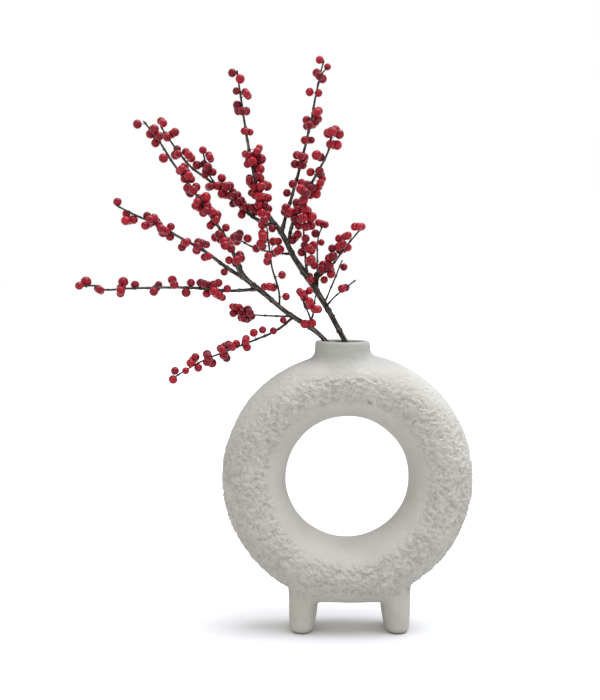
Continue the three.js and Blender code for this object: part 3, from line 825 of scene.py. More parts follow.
class Thicket:
    """All the wood, and all the berries hung so far, as beads: a berry finds its place clear of them."""

    def __init__(self, rule: BerryRule, drawing: Drawing) -> None:
        """Starts with no beads.

        Args:
            rule: The rule that hangs berries.
            drawing: The view in which they are drawn.
        """
        self._rule = rule
        self._drawing = drawing
        self._tones = np.random.default_rng(rule.tone_seed)
        self._centres = np.empty((0, 3))
        self._radii = np.empty(0)
        self._own_gaps = np.empty(0)
        self._owners = np.empty(0, str)

    def _add(self, kind: Bead, owner: str, centres: np.ndarray, radii: np.ndarray) -> None:
        """Adds beads.

        Args:
            kind: What they stand for.
            owner: The name of the stem or spray that they belong to.
            centres: Their middles, one row each.
            radii: Their radii.
        """
        self._centres = np.vstack([self._centres, centres])
        self._radii = np.concatenate([self._radii, radii])
        self._own_gaps = np.concatenate([self._own_gaps, np.full(len(radii), kind.value)])
        self._owners = np.concatenate([self._owners, np.full(len(radii), owner)])

    def add_wood(self, route: Route, radius: Pair, owner: str) -> None:
        """Adds a length of wood.

        Args:
            route: The way it runs.
            radius: Its radius at both ends.
            owner: The name of the stem or spray that it belongs to.
        """
        count = math.ceil(route.length / self._rule.bead_step)
        shares = np.arange(count + 1) / count
        self._add(Bead.WOOD, owner, route.points(shares), lerp(*radius, shares))

    def _stalk(self, root: np.ndarray, centre: np.ndarray) -> np.ndarray:
        """Gives the places along a berry's stalk that must keep clear, one row each."""
        return np.array([lerp(root, centre, share) for share in self._rule.stalk_places])

    def _has_room(self, root: np.ndarray, centre: np.ndarray, radius: float, owner: str) -> bool:
        """Says whether a berry and its stalk have room. The stalk only minds the beads of other sprays.

        Args:
            root: Where the stalk starts.
            centre: The middle of the berry.
            radius: The berry's radius.
            owner: The spray's name.

        Returns:
            True where both are clear.
        """
        own = self._owners == owner
        gaps = np.where(own, self._own_gaps, self._rule.crossing_gap)
        if (np.linalg.norm(self._centres - centre, axis=1) <= radius + self._radii + gaps).any():
            return False
        room = self._rule.stalk_radius + self._rule.crossing_gap + self._radii[~own]
        others = self._centres[~own]
        return all((np.linalg.norm(others - p, axis=1) > room).all() for p in self._stalk(root, centre))

    def hang(self, twig: Twig, owner: str, drawn: Triple, leads: bool, vigour: Vigour) -> list[Berry]:
        """Hangs one berry so that it shows at its drawn place, in front of its twig or behind it.

        Args:
            twig: The twig.
            owner: The spray's name.
            drawn: The berry's place as drawn, and its radius.
            leads: Whether it tries the front first even where it shows beside the twig.
            vigour: How it has fared.

        Returns:
            The berry, or none where it has no room.
        """
        rule = self._rule
        *place, radius = drawn
        last = 1 - rule.root_depth / twig.route.length
        share = min(self._drawing.nearest_share(twig.route, place), last)
        root = twig.route.points(np.array([share]))[0]
        aside = float(np.linalg.norm(self._drawing.at_depth(place, root[1]) - root))
        for stalk in rule.stalks:
            reach = lerp(*twig.radius, share) + stalk + radius
            slack = math.sqrt(max(reach**2 - aside**2, 0))
            in_front = leads or aside < rule.front_share * reach
            for side in (-1, 1) if in_front else (1, -1):
                centre = self._drawing.at_depth(place, root[1] + side * slack)
                if self._has_room(root, centre, radius, owner):
                    places = self._stalk(root, centre)
                    self._add(Bead.STALK, owner, places, np.full(len(places), rule.stalk_radius))
                    self._add(Bead.BERRY, owner, centre[None], np.array([radius]))
                    along = share * twig.route.length
                    return [Berry(along, root, centre, radius, vigour, float(self._tones.random()))]
        return []


@dataclass(frozen=True)
class BerrySkin:
    """Builds the berries: nearly round, dimpled at both poles, with the flower's dark remains on the tip.

    Angles are measured from the tip, in radians.
    """

    sides: int = 20
    tip_rings: tuple[float, ...] = (0.06, 0.12, 0.17, 0.22, 0.3, 0.42)
    body_rings: int = 11
    body_margins: Pair = (0.2, 0.12)
    stalk_rings: Pair = (0.26, 0.13)
    plumpness: float = 1.12
    flatness: float = 0.96
    dimple: float = 0.05
    dimple_width: float = 0.3
    nub: float = 0.085
    nub_width: float = 0.13
    lump_height: float = 0.022
    lump_detail: float = 1.2
    wrinkle_height: float = 0.12
    wrinkle_detail: float = 2.6

    @functools.cached_property
    def unit_berry(self) -> Shape:
        """Builds a berry of radius 1 with its tip along +Z.

        Returns:
            The berry, with no marks.
        """
        after_tip, before_stalk = self.body_margins
        ends = self.tip_rings[-1] + after_tip, math.pi - self.stalk_rings[0] - before_stalk
        body = np.linspace(*ends, self.body_rings)
        polar = np.array([*self.tip_rings, *body, *(math.pi - ring for ring in self.stalk_rings)])[::-1]
        dents = [np.exp(-((angle / self.dimple_width) ** 2)) for angle in (polar, math.pi - polar)]
        reach = 1 - self.dimple * (dents[0] + dents[1]) + self.nub * np.exp(-((polar / self.nub_width) ** 4))
        rings = [(r * math.sin(p), r * math.cos(p) * self.flatness) for p, r in zip(polar, reach)]
        bottom = (0.0, -(1 - self.dimple) * self.flatness)
        top = (0.0, (1 - self.dimple + self.nub) * self.flatness)
        return turned([bottom, *rings, top], self.sides)

    def grow(self, berry: Berry, grain: Noise) -> Shape:
        """Builds one berry in its place.

        Args:
            berry: Where it is and how it has fared.
            grain: The noise that makes it less than round.

        Returns:
            The berry with the marks "skin", "tone" and "vigour".
        """
        base = self.unit_berry.corners
        height, detail = self.lump_height, self.lump_detail
        if berry.vigour is Vigour.WITHERED:
            height, detail = self.wrinkle_height, self.wrinkle_detail
        swell = 1 + height * grain(base * detail + berry.centre)
        local = base * (swell * self.plumpness * berry.radius)[:, None]
        corners = local @ facing(berry.out(), math.tau * berry.tone) + berry.centre
        count = len(base)
        marks = {
            "skin": base,
            "tone": np.full(count, berry.tone),
            "vigour": np.full(count, berry.vigour.value),
        }
        return Shape(corners, self.unit_berry.faces, marks)


@dataclass(frozen=True)
class Girth:
    """How thick a length of wood is: distances along it and the radius at each."""

    stops: tuple[Pair, ...]

    def at(self, along: np.ndarray) -> np.ndarray:
        """Gives the radius at distances."""
        return np.interp(along, *zip(*self.stops))


@dataclass(frozen=True)
class Bark:
    """Builds wood: tapering lengths with furrows, swollen nodes and buds, and the stalks of berries."""

    stem_sides: int = 26
    twig_sides: int = 12
    stalk_sides: int = 7
    bud_sides: int = 8
    step: float = 1.0
    node_swell: float = 0.28
    node_reach: float = 1.5
    collar_reach: float = 2.4
    furrow: float = 0.085
    knobble: float = 0.06
    rope_turns: float = 1.3
    rope_length: float = 11.0
    waver: float = 0.3
    waver_length: float = 13.0
    waver_ease: float = 8.0
    root_bulge: float = 0.3
    tip_bulge: float = 0.5
    bud_spacing: float = 13.0
    node_spacing: float = 4.5
    bare_tip: float = 4.0
    bud_size: Pair = (0.62, 1.3)
    bud_seat: float = 0.95
    bud_profile: tuple[Pair, ...] = (
        (0.0, -0.3), (0.8, -0.2), (1.0, 0.1), (0.92, 0.35), (0.66, 0.65), (0.32, 0.88), (0.0, 1.0),
    )
    tip_bud_size: Pair = (0.95, 2.0)
    stalk_widths: tuple[Pair, ...] = ((0.0, 0.5), (0.3, 0.33), (0.72, 0.33), (0.86, 0.51), (1.0, 0.85))
    stalk_end: float = 0.92
    stalk_bend: float = 0.35
    leaf_angle: float = math.radians(137.5)

    def _thickness(
        self, along: np.ndarray, girth: Girth, nodes: Sequence[float], collar: float
    ) -> np.ndarray:
        """Says how thick wood is along its length, with its swellings.

        Args:
            along: The distances along it.
            girth: How thick it is without them.
            nodes: The distances where it swells.
            collar: How much thicker it is at its root, as a share.

        Returns:
            The radius at each distance.
        """
        thick = girth.at(along)
        for node in nodes:
            thick = thick * (1 + self.node_swell * np.exp(-(((along - node) / self.node_reach) ** 2)))
        return thick * (1 + collar * np.exp(-along / (self.collar_reach * thick[0])))

    def length_of_wood(
        self,
        route: Route,
        girth: Girth,
        nodes: Sequence[float],
        collar: float,
        age: Age,
        grain: Noise,
        start: float = 0.0,
    ) -> Shape:
        """Builds one tapering length of wood.

        Args:
            route: The way it runs.
            girth: How thick it is.
            nodes: The distances along it where it swells.
            collar: How much thicker it is where it leaves the wood that it grows from, as a share.
            age: How old its bark is.
            grain: The noise of furrows and bends.
            start: The distance along the route where it is cut.

        Returns:
            The length of wood with the marks "grain", "age" and "front", how far its bark faces the front.
        """
        sides = self.stem_sides if age is Age.OLD else self.twig_sides
        rings = max(4, round((route.length - start) / self.step))
        along = np.linspace(start, route.length, rings)
        shares = along / route.length
        forwards = route.directions(shares)
        first, second = carried_sides(forwards)
        around = rays(forwards, sides)
        thick = self._thickness(along, girth, nodes, collar)
        round_it = around.reshape(-1, 3) * self.rope_turns
        along_it = along.repeat(sides)[:, None] / self.rope_length
        furrows = grain(round_it * 1.9 + along_it * (0.25, 0.6, 1.0)).reshape(rings, sides)
        knobs = grain(round_it * 0.8 + along_it * (3.1, 1.7, 4.3)).reshape(rings, sides)
        surface = thick[:, None] * (1 + self.furrow * furrows + self.knobble * knobs)
        ease = smooth(0, self.waver_ease, along) * smooth(0, self.waver_ease, route.length - along + 2)
        waves = along / self.waver_length
        bends = [grain(np.column_stack([waves, np.full(rings, k), forwards[:, 0]])) for k in (3, 9)]
        aside, beside = ((ease * self.waver * bend)[:, None] for bend in bends)
        centres = route.points(shares) + aside * first + beside * second
        corners = (centres[:, None] + around * surface[..., None]).reshape(-1, 3)
        root = centres[0] - forwards[0] * self.root_bulge * thick[0]
        tip = centres[-1] + forwards[-1] * self.tip_bulge * thick[-1]
        angles = np.linspace(0, 2 * math.pi, sides, endpoint=False)
        ring = np.column_stack([np.cos(angles), np.sin(angles)]) * float(girth.at(along).mean())
        lengthwise = np.column_stack([np.tile(ring, (rings, 1)), along.repeat(sides)])
        marks = {
            "grain": np.vstack([lengthwise, [0, 0, start], [0, 0, route.length]]),
            "age": np.full(rings * sides + 2, age.value),
            # front: how far the bark faces -Y, which the bark's finish makes into a painted sheen
            "front": np.append(-around[..., 1].ravel(), [0.0, 0.0]),
        }
        return Shape(np.vstack([corners, root, tip]), ring_faces(rings, sides), marks)

    def bud(self, place: np.ndarray, direction: np.ndarray, size: Pair, age: Age) -> Shape:
        """Builds a small pointed bud.

        Args:
            place: Where it sits.
            direction: The unit direction that it points in.
            size: Its greatest radius and its length.
            age: How old its bark is.

        Returns:
            The bud with the marks "grain", "age" and "front".
        """
        radius, length = size
        shape = turned([(r * radius, z * length) for r, z in self.bud_profile], self.bud_sides)
        count = len(shape.corners)
        shape.marks = {"grain": shape.corners, "age": np.full(count, age.value), "front": np.zeros(count)}
        shape.corners = shape.corners @ facing(direction, 0.0) + place
        return shape

    def buds_along(self, route: Route, girth: Girth, nodes: Sequence[float], age: Age) -> list[Shape]:
        """Builds a bud at each node, turned by the leaf angle from the last.

        Args:
            route: The way the wood runs.
            girth: How thick it is.
            nodes: The distances of the nodes.
            age: How old the buds' bark is.

        Returns:
            The buds.
        """
        shapes = []
        shares, thick = np.array(nodes) / route.length, girth.at(np.array(nodes))
        forwards, places = route.directions(shares), route.points(shares)
        first, second = carried_sides(forwards)
        for k, (forward, place) in enumerate(zip(forwards, places)):
            turn = self.leaf_angle * k
            out = math.cos(turn) * first[k] + math.sin(turn) * second[k]
            seat = place + out * thick[k] * self.bud_seat
            shapes.append(self.bud(seat, unit(out + forward), self.bud_size, age))
        return shapes

    def stalk(self, berry: Berry, grain: Noise) -> Shape:
        """Builds the stalk of a berry, which widens to a little cup under it.

        Args:
            berry: The berry that it carries.
            grain: The noise that bends it.

        Returns:
            The stalk with the marks "grain", "age" and "front".
        """
        end = berry.centre - berry.out() * berry.radius * self.stalk_end
        bend = self.stalk_bend * np.array([grain(berry.centre[None] * 0.37 + k)[0] for k in range(3)])
        route = Route([berry.root, (berry.root + end) / 2 + bend, end])
        shares, widths = np.array(self.stalk_widths).T
        around = rays(route.directions(shares), self.stalk_sides)
        walls = (route.points(shares)[:, None] + around * widths[:, None, None]).reshape(-1, 3)
        corners = np.vstack([walls, berry.root, end])
        bare = np.zeros(len(corners))
        marks = {"grain": corners - berry.root, "age": bare, "front": bare}
        return Shape(corners, ring_faces(len(widths), self.stalk_sides), marks)

    def nodes_of(self, twig: Twig, berries: Sequence[Berry]) -> list[float]:
        """Lists the distances of a twig's nodes: where its berries grow, and buds on its bare stretches.

        Args:
            twig: The twig.
            berries: Its berries.

        Returns:
            The distances in order.
        """
        bare = np.arange(self.bud_spacing / 2, twig.route.length - self.bare_tip, self.bud_spacing)
        nodes: list[float] = []
        for distance in [*sorted(berry.along for berry in berries), *map(float, bare)]:
            if all(abs(distance - node) > self.node_spacing for node in nodes):
                nodes.append(distance)
        return sorted(nodes)


@dataclass(frozen=True)
class Snag:
    """A short stub on a stem, where a side shoot broke off.

    Attributes:
        stem: The stem's name.
        place: Its place as drawn.
        direction: The way that it points.
        size: Its radius and its length.
    """

    stem: str
    place: Pair
    direction: Triple
    size: Pair


SNAGS = (
    Snag("right_stem", (-15, 325), (0.9, -0.3, 0.5), (1.3, 4.6)),
    Snag("right_stem", (-10, 313), (-0.9, -0.4, 0.1), (1.1, 4.2)),
    Snag("right_stem", (-50, 378), (0.8, -0.5, 0.4), (1.2, 4.0)),
    Snag("left_stem", (-46, 318), (0.2, -0.5, 0.9), (1.0, 3.6)),
    Snag("left_stem", (-96, 357), (-0.3, -0.7, -0.7), (1.1, 3.6)),
)


@dataclass(frozen=True)
class Vase:
    """The ring-shaped vase: a hollow ring with a neck and two feet, and a wrinkled skin on the ring."""

    ring_height: float = 159.0
    ring_radius: float = 96.0
    tube_radius: float = 32.5
    tube_depth_ratio: float = 1.2
    wall: float = 6.0
    neck_x: float = -5.0
    neck_root: float = 262.0
    rim_height: float = 300.0
    rim_radius: float = 28.0
    neck_flare: float = 1.2
    neck_flare_height: float = 16.0
    neck_fillet: float = 6.5
    bore_radius: float = 22.5
    lip: float = 3.4
    feet_x: float = 2.5
    foot_top: float = 56.0
    foot_offset: Pair = (49.4, 46.0)
    foot_half_width: Pair = (11.5, 16.5)
    foot_half_depth: Pair = (23.5, 30.0)
    foot_squareness: float = 2.6
    foot_edge: float = 5.5
    foot_fillet: float = 3.5
    belly_height: float = 61.6
    belly_reach: Pair = (-27.0, 32.0)
    belly_radius: float = 32.3
    cell: float = 1.5
    slope_reach: float = 0.05
    cavity_segments: tuple[int, int] = (72, 24)
    lump_height: float = 0.55
    lump_length: float = 36.0
    wrinkle_height: float = 1.9
    wrinkle_stretch: Triple = (0.78, 1.0, 1.12)
    bend_length: float = 9.0
    bend_reach: float = 3.0
    fine_bend_length: float = 4.6
    fine_bend_reach: float = 0.8
    worm_length: float = 7.4
    curl_length: float = 5.4
    pit_length: float = 4.0
    patch_length: float = 26.0

    def _tube(self, points: np.ndarray, radius: float) -> np.ndarray:
        """Gives about the distance to a tube that runs round the ring, less than 0 inside it.

        Args:
            points: Where to measure.
            radius: Half the tube's height. It is deeper by the depth ratio.

        Returns:
            One value for each point.
        """
        x, y, z = points.T
        rise, depth = np.hypot(x, z - self.ring_height) - self.ring_radius, radius * self.tube_depth_ratio
        share = np.maximum(np.hypot(rise / radius, y / depth), 1e-6)
        steepness = np.maximum(np.hypot(rise / radius**2, y / depth**2), 1e-8)
        return share * (share - 1) / steepness

    def _neck(self, points: np.ndarray) -> np.ndarray:
        """Gives the distance to the neck's outside, less than 0 inside.

        Args:
            points: Where to measure.

        Returns:
            One value for each point.
        """
        x, y, z = points.T
        flare = self.neck_flare * np.clip((self.rim_height - z) / self.neck_flare_height, 0, 1.5) ** 2
        side = np.hypot(x - self.neck_x, y) - self.rim_radius - flare
        return soft_max(soft_max(side, z - self.rim_height, self.lip), self.neck_root - z, self.lip)

    def _foot(self, points: np.ndarray, side: int) -> np.ndarray:
        """Gives roughly the distance to one foot, less than 0 inside.

        Args:
            points: Where to measure.
            side: -1 for the left foot and 1 for the right one.

        Returns:
            One value for each point.
        """
        x, y, z = points.T
        risen = np.clip(z / self.foot_top, 0, 1)
        middle = self.feet_x + side * lerp(*self.foot_offset, risen)
        half_width = lerp(*self.foot_half_width, np.sqrt(risen))
        across = np.abs(x - middle) / half_width
        deep = np.abs(y) / lerp(*self.foot_half_depth, risen)
        power = self.foot_squareness
        section = ((across**power + deep**power) ** (1 / power) - 1) * half_width
        return soft_max(soft_max(section, -z, self.foot_edge), z - self.foot_top, self.foot_edge)

    def _belly(self, points: np.ndarray) -> np.ndarray:
        """Gives the distance to the flattened bottom of the ring, between the feet, less than 0 inside.

        Args:
            points: Where to measure.

        Returns:
            One value for each point.
        """
        x, y, z = points.T
        aside, deep = x - np.clip(x, *self.belly_reach), y / self.tube_depth_ratio
        return np.sqrt(aside**2 + deep**2 + (z - self.belly_height) ** 2) - self.belly_radius

    def clay(self, points: np.ndarray) -> np.ndarray:
        """Gives the field of the vase's smooth outside and its neck's passage, less than 0 in the clay.

        Args:
            points: Where to measure.

        Returns:
            One value for each point.
        """
        body = soft_min(self._tube(points, self.tube_radius), self._neck(points), self.neck_fillet)
        body = soft_min(body, self._belly(points), self.foot_fillet)
        for side in (-1, 1):
            body = soft_min(body, self._foot(points, side), self.foot_fillet)
        x, y, z = points.T
        bore = soft_max(np.hypot(x - self.neck_x, y) - self.bore_radius, self.neck_root - z, self.lip)
        return soft_max(body, -bore, self.lip)

    def _slope(self, points: np.ndarray) -> np.ndarray:
        """Gives the gradient of the clay's field.

        Args:
            points: Where to measure.

        Returns:
            One vector for each point.
        """
        steps = np.eye(3) * self.slope_reach
        rises = [self.clay(points + step) - self.clay(points - step) for step in steps]
        return np.column_stack([rise / (2 * self.slope_reach) for rise in rises])

    def _wrapped(self) -> Shape:
        """Wraps a net of four-sided faces round the clay.

        Returns:
            The net, close to the clay's skin.
        """
        margin = 4 * self.cell
        outer = self.ring_radius + self.tube_radius + margin
        half_depth = self.tube_radius * self.tube_depth_ratio + margin
        low = np.array([-outer, -half_depth, -margin])
        high = np.array([outer, half_depth, self.rim_height + margin])
        axes = [np.arange(a, b, self.cell) for a, b in zip(low, high)]
        grid = np.stack(np.meshgrid(*axes, indexing="ij"), axis=-1)
        level = self.clay(grid.reshape(-1, 3)).reshape(grid.shape[:3])
        inside = level < 0
        cells = tuple(size - 1 for size in level.shape)
        offsets = np.array(list(itertools.product((0, 1), repeat=3)))
        width, depth, height = cells
        blocks = [inside[i : i + width, j : j + depth, k : k + height].astype(int) for i, j, k in offsets]
        count = sum(blocks)
        crossed = np.argwhere((count > 0) & (count < len(offsets)))
        corners = low + self.cell * self._balanced(crossed, level, offsets)
        number = np.full(cells, -1)
        number[tuple(crossed.T)] = np.arange(len(crossed))
        faces: list[tuple[int, ...]] = []
        for axis in range(3):
            across, up = np.eye(3, dtype=int)[(axis + 1) % 3], np.eye(3, dtype=int)[(axis + 2) % 3]
            starts = np.moveaxis(inside, axis, 0)
            edges = np.argwhere(np.moveaxis(starts[:-1] != starts[1:], 0, axis))
            ring = [number[tuple((edges - shift).T)] for shift in (0 * across, across, across + up, up)]
            leaving = inside[tuple(edges.T)][:, None]
            quads = np.column_stack(ring)
            faces += [tuple(quad) for quad in np.where(leaving, quads, quads[:, ::-1]).tolist()]
        return Shape(corners, faces, {})

    @staticmethod
    def _balanced(crossed: np.ndarray, level: np.ndarray, offsets: np.ndarray) -> np.ndarray:
        """Finds the middle of the points where the skin crosses each cell's edges.

        Args:
            crossed: The cells that the skin passes through.
            level: The field on the grid.
            offsets: The eight corners of a cell.

        Returns:
            One point for each cell, in cells.
        """
        total, hits = np.zeros((len(crossed), 3)), np.zeros(len(crossed))
        for a, b in itertools.combinations(offsets, 2):
            if np.abs(a - b).sum() == 1:
                start, end = level[tuple((crossed + a).T)], level[tuple((crossed + b).T)]
                cuts = (start < 0) != (end < 0)
                share = np.where(cuts, start / np.where(cuts, start - end, 1), 0)
                total += cuts[:, None] * (a + share[:, None] * (b - a))
                hits += cuts
        return crossed + total / hits[:, None]

    def _cavity(self) -> Shape:
        """Builds the hollow of the ring as a closed shape.

        Returns:
            The hollow, with no marks.
        """
        around, across = self.cavity_segments
        turns = np.linspace(0, 2 * math.pi, around, endpoint=False)[:, None]
        rolls = np.linspace(0, 2 * math.pi, across, endpoint=False)[None]
        hollow = self.tube_radius - self.wall
        reach = self.ring_radius + hollow * np.cos(rolls)
        x, z = reach * np.cos(turns), reach * np.sin(turns) + self.ring_height
        y = hollow * self.tube_depth_ratio * np.sin(rolls) + 0 * turns
        corners = np.dstack([x, y, z]).reshape(-1, 3)
        index = np.arange(around * across).reshape(around, across)
        ahead, beside = np.roll(index, -1, axis=0), np.roll(index, -1, axis=1)
        both = np.roll(ahead, -1, axis=1)
        quads = np.stack([index, beside, both, ahead], axis=-1).reshape(-1, 4)
        return Shape(corners, [tuple(quad) for quad in quads.tolist()], {})

    def _wrinkles(self, points: np.ndarray) -> np.ndarray:
        """Draws the wrinkled relief: worm-like ridges and shallow pits, strong in patches.

        Args:
            points: Where to measure, on the smooth skin.

        Returns:
            Heights from about -1 to 1.
        """
        first, second, third = Noise(11), Noise(12), Noise(13)
        points = points * self.wrinkle_stretch
        bend = np.column_stack([first(points / self.bend_length + k * 7.3) for k in range(3)])
        fine_bend = np.column_stack([second(points / self.fine_bend_length + k * 5.1) for k in range(3)])
        bent = points + self.bend_reach * bend + self.fine_bend_reach * fine_bend
        worms = 1 - np.minimum(np.abs(second(bent / self.worm_length)) / 0.4, 1)
        curls = 1 - np.minimum(np.abs(third(bent / self.curl_length + 9.0)) / 0.45, 1)
        pits = first(bent / self.pit_length + 3.0)
        patches = smooth(-0.35, 0.45, third(points / self.patch_length + 4.0))
        return worms * (0.5 + 0.4 * patches) + curls * (0.6 - 0.3 * patches) + 0.35 * pits - 0.5

    def _relief_share(self, points: np.ndarray) -> np.ndarray:
        """Says how strong the wrinkles are: full on the ring's faces, none by its hole or on neck and feet.

        Args:
            points: Where to measure, on the smooth skin.

        Returns:
            Shares from 0 to 1.
        """
        x, _, z = points.T
        reach, rise = np.hypot(x, z - self.ring_height), z - self.ring_height
        across = (reach - self.ring_radius) / self.tube_radius
        off_hole = smooth(-0.72, -0.3, across)
        facing_up = 1 - 0.6 * smooth(0.1, 0.55, across * rise / reach)
        off_neck = 1 - 0.85 * smooth(262, 272, z) * (1 - smooth(45, 75, np.abs(x - self.neck_x)))
        off_feet = smooth(28, 50, z)
        return off_hole * facing_up * off_neck * off_feet

    def build(self) -> Shape:
        """Builds the vase.

        Returns:
            The vase with the marks "relief", the height of the wrinkles, and "wrinkled", how strong they are.
        """
        body = self._wrapped().without(self._cavity())
        skin = np.abs(self.clay(body.corners)) < self.cell
        places = body.corners[skin]
        for _ in range(2):
            slope = self._slope(places)
            places = places - slope * (self.clay(places) / np.einsum("ij,ij->i", slope, slope))[:, None]
        lumps = self.lump_height * Noise(21)(places / self.lump_length) * smooth(1, 10, places[:, 2])
        share = self._relief_share(places)
        relief = self._wrinkles(places) * share
        height = lumps + self.wrinkle_height * relief
        body.corners[skin] = places + unit(self._slope(places)) * height[:, None]
        for name, values in {"relief": relief, "wrinkled": share}.items():
            body.marks[name] = np.zeros(len(body.corners))
            body.marks[name][skin] = values
        return body

    def depth_in_cavity(self, points: np.ndarray) -> np.ndarray:
        """Says how deep points lie in the ring's hollow, less than 0 where they are in its wall."""
        return -self._tube(points, self.tube_radius - self.wall)


@dataclass(frozen=True)
class Signal:
    """A number, colour or vector that varies over a surface. Arithmetic on a number adds Math nodes."""

    shader: "Shader"
    socket: bpy.types.NodeSocket

    def _maths(self, operation: str, *terms: "Signal | float") -> "Signal":
        """Adds one Math node on the terms."""
        node = self.shader.node("ShaderNodeMath", {"operation": operation}, dict(enumerate(terms)))
        return Signal(self.shader, node.outputs[0])

    def __add__(self, other: "Signal | float") -> "Signal":
        """Adds."""
        return self._maths("ADD", self, other)

    def __radd__(self, other: float) -> "Signal":
        """Adds to a number."""
        return self._maths("ADD", other, self)

    def __sub__(self, other: "Signal | float") -> "Signal":
        """Subtracts."""
        return self._maths("SUBTRACT", self, other)

    def __rsub__(self, other: float) -> "Signal":
        """Subtracts from a number."""
        return self._maths("SUBTRACT", other, self)

    def __mul__(self, other: "Signal | float") -> "Signal":
        """Multiplies."""
        return self._maths("MULTIPLY", self, other)

    def __rmul__(self, other: float) -> "Signal":
        """Multiplies a number."""
        return self._maths("MULTIPLY", other, self)

    def size(self) -> "Signal":
        """Drops the sign."""
        return self._maths("ABSOLUTE", self)

    def between(self, low: float, high: float) -> "Signal":
        """Rises softly from 0 where the signal is low to 1 where it is high.

        Args:
            low: The value that gives 0.
            high: The value that gives 1.

        Returns:
            The share.
        """
        inputs = {"Value": self, "From Min": low, "From Max": high}
        node = self.shader.node("ShaderNodeMapRange", {"interpolation_type": "SMOOTHSTEP"}, inputs)
        return Signal(self.shader, node.outputs[0])


class Shader:
    """The nodes of one material."""

    def __init__(self, name: str) -> None:
        """Starts a material with no nodes.

        Args:
            name: The material's name.
        """
        self.material = bpy.data.materials.new(name)
        self.material.use_nodes = True
        self.tree = self.material.node_tree
        self.tree.nodes.clear()

    def node(
        self,
        kind: str,
        settings: Mapping[str, Any] | None = None,
        inputs: Mapping[str | int, Any] | None = None,
    ) -> bpy.types.Node:
        """Adds a node.

        Args:
            kind: The node's type.
            settings: Its own settings, and "stops" for a colour ramp.
            inputs: A value, signal or socket for each input that is set, by name or number.

        Returns:
            The node.
        """
        made = self.tree.nodes.new(kind)
        for key, value in (settings or {}).items():
            if key == "stops":
                self._set_stops(made.color_ramp, value)
            else:
                setattr(made, key, value)
        for key, value in (inputs or {}).items():
            socket = value.socket if isinstance(value, Signal) else value
            if isinstance(socket, bpy.types.NodeSocket):
                self.tree.links.new(socket, made.inputs[key])
            else:
                made.inputs[key].default_value = socket
        return made

    @staticmethod
    def _set_stops(ramp: bpy.types.ColorRamp, stops: Sequence[tuple[float, Colour]]) -> None:
        """Gives a colour ramp its stops.

        Args:
            ramp: The ramp.
            stops: The position and colour of each stop, in order.
        """
        while len(ramp.elements) < len(stops):
            ramp.elements.new(1.0)
        for element, (position, colour) in zip(ramp.elements, stops):
            element.position = position
            element.color = colour

    def mark(self, name: str, part: str = "Fac") -> Signal:
        """Reads a mark of the mesh."""
        node = self.node("ShaderNodeAttribute", {"attribute_name": name})
        return Signal(self, node.outputs[part])

    def stretched(self, vector: Signal, scale: Triple) -> Signal:
        """Scales a vector along each axis."""
        node = self.node("ShaderNodeVectorMath", {"operation": "MULTIPLY"}, {0: vector, 1: scale})
        return Signal(self, node.outputs[0])

    def noise(self, vector: Signal, scale: float, detail: float = 2.0, seed: Signal | float = 0.0) -> Signal:
        """Adds a noise texture from 0 to 1.

        Args:
            vector: Where it is read.
            scale: How many cells it has in one unit.
            detail: How many finer layers it has.
            seed: A fourth coordinate that tells one piece from the next.

        Returns:
            The noise.
        """
        inputs = {"Vector": vector, "Scale": scale, "Detail": detail, "W": seed}
        node = self.node("ShaderNodeTexNoise", {"noise_dimensions": "4D"}, inputs)
        return Signal(self, node.outputs[0])

    def mix(self, share: Signal | float, start: Signal | Colour, end: Signal | Colour) -> Signal:
        """Mixes two colours: a share of 0 gives the first, and a share of 1 the second."""
        node = self.node("ShaderNodeMix", {"data_type": "RGBA"}, {0: share, 6: start, 7: end})
        return Signal(self, node.outputs[2])

    def bump(self, height: Signal, strength: float, depth: float) -> Signal:
        """Turns a height into a bumped normal, where depth is what a height of 1 stands for, in metres."""
        node = self.node("ShaderNodeBump", {}, {"Strength": strength, "Distance": depth, "Height": height})
        return Signal(self, node.outputs[0])

    def place(self) -> Signal:
        """Gives the place on the object, in metres."""
        return Signal(self, self.node("ShaderNodeTexCoord").outputs["Object"])

    def surface(self, **inputs: Any) -> bpy.types.Material:
        """Closes the material with its surface.

        Args:
            **inputs: The surface's inputs, with _ for each space in their names.

        Returns:
            The material.
        """
        named = {key.replace("_", " "): value for key, value in inputs.items()}
        shell = self.node("ShaderNodeBsdfPrincipled", {}, named)
        self.node("ShaderNodeOutputMaterial", {}, {"Surface": shell.outputs[0]})
        return self.material


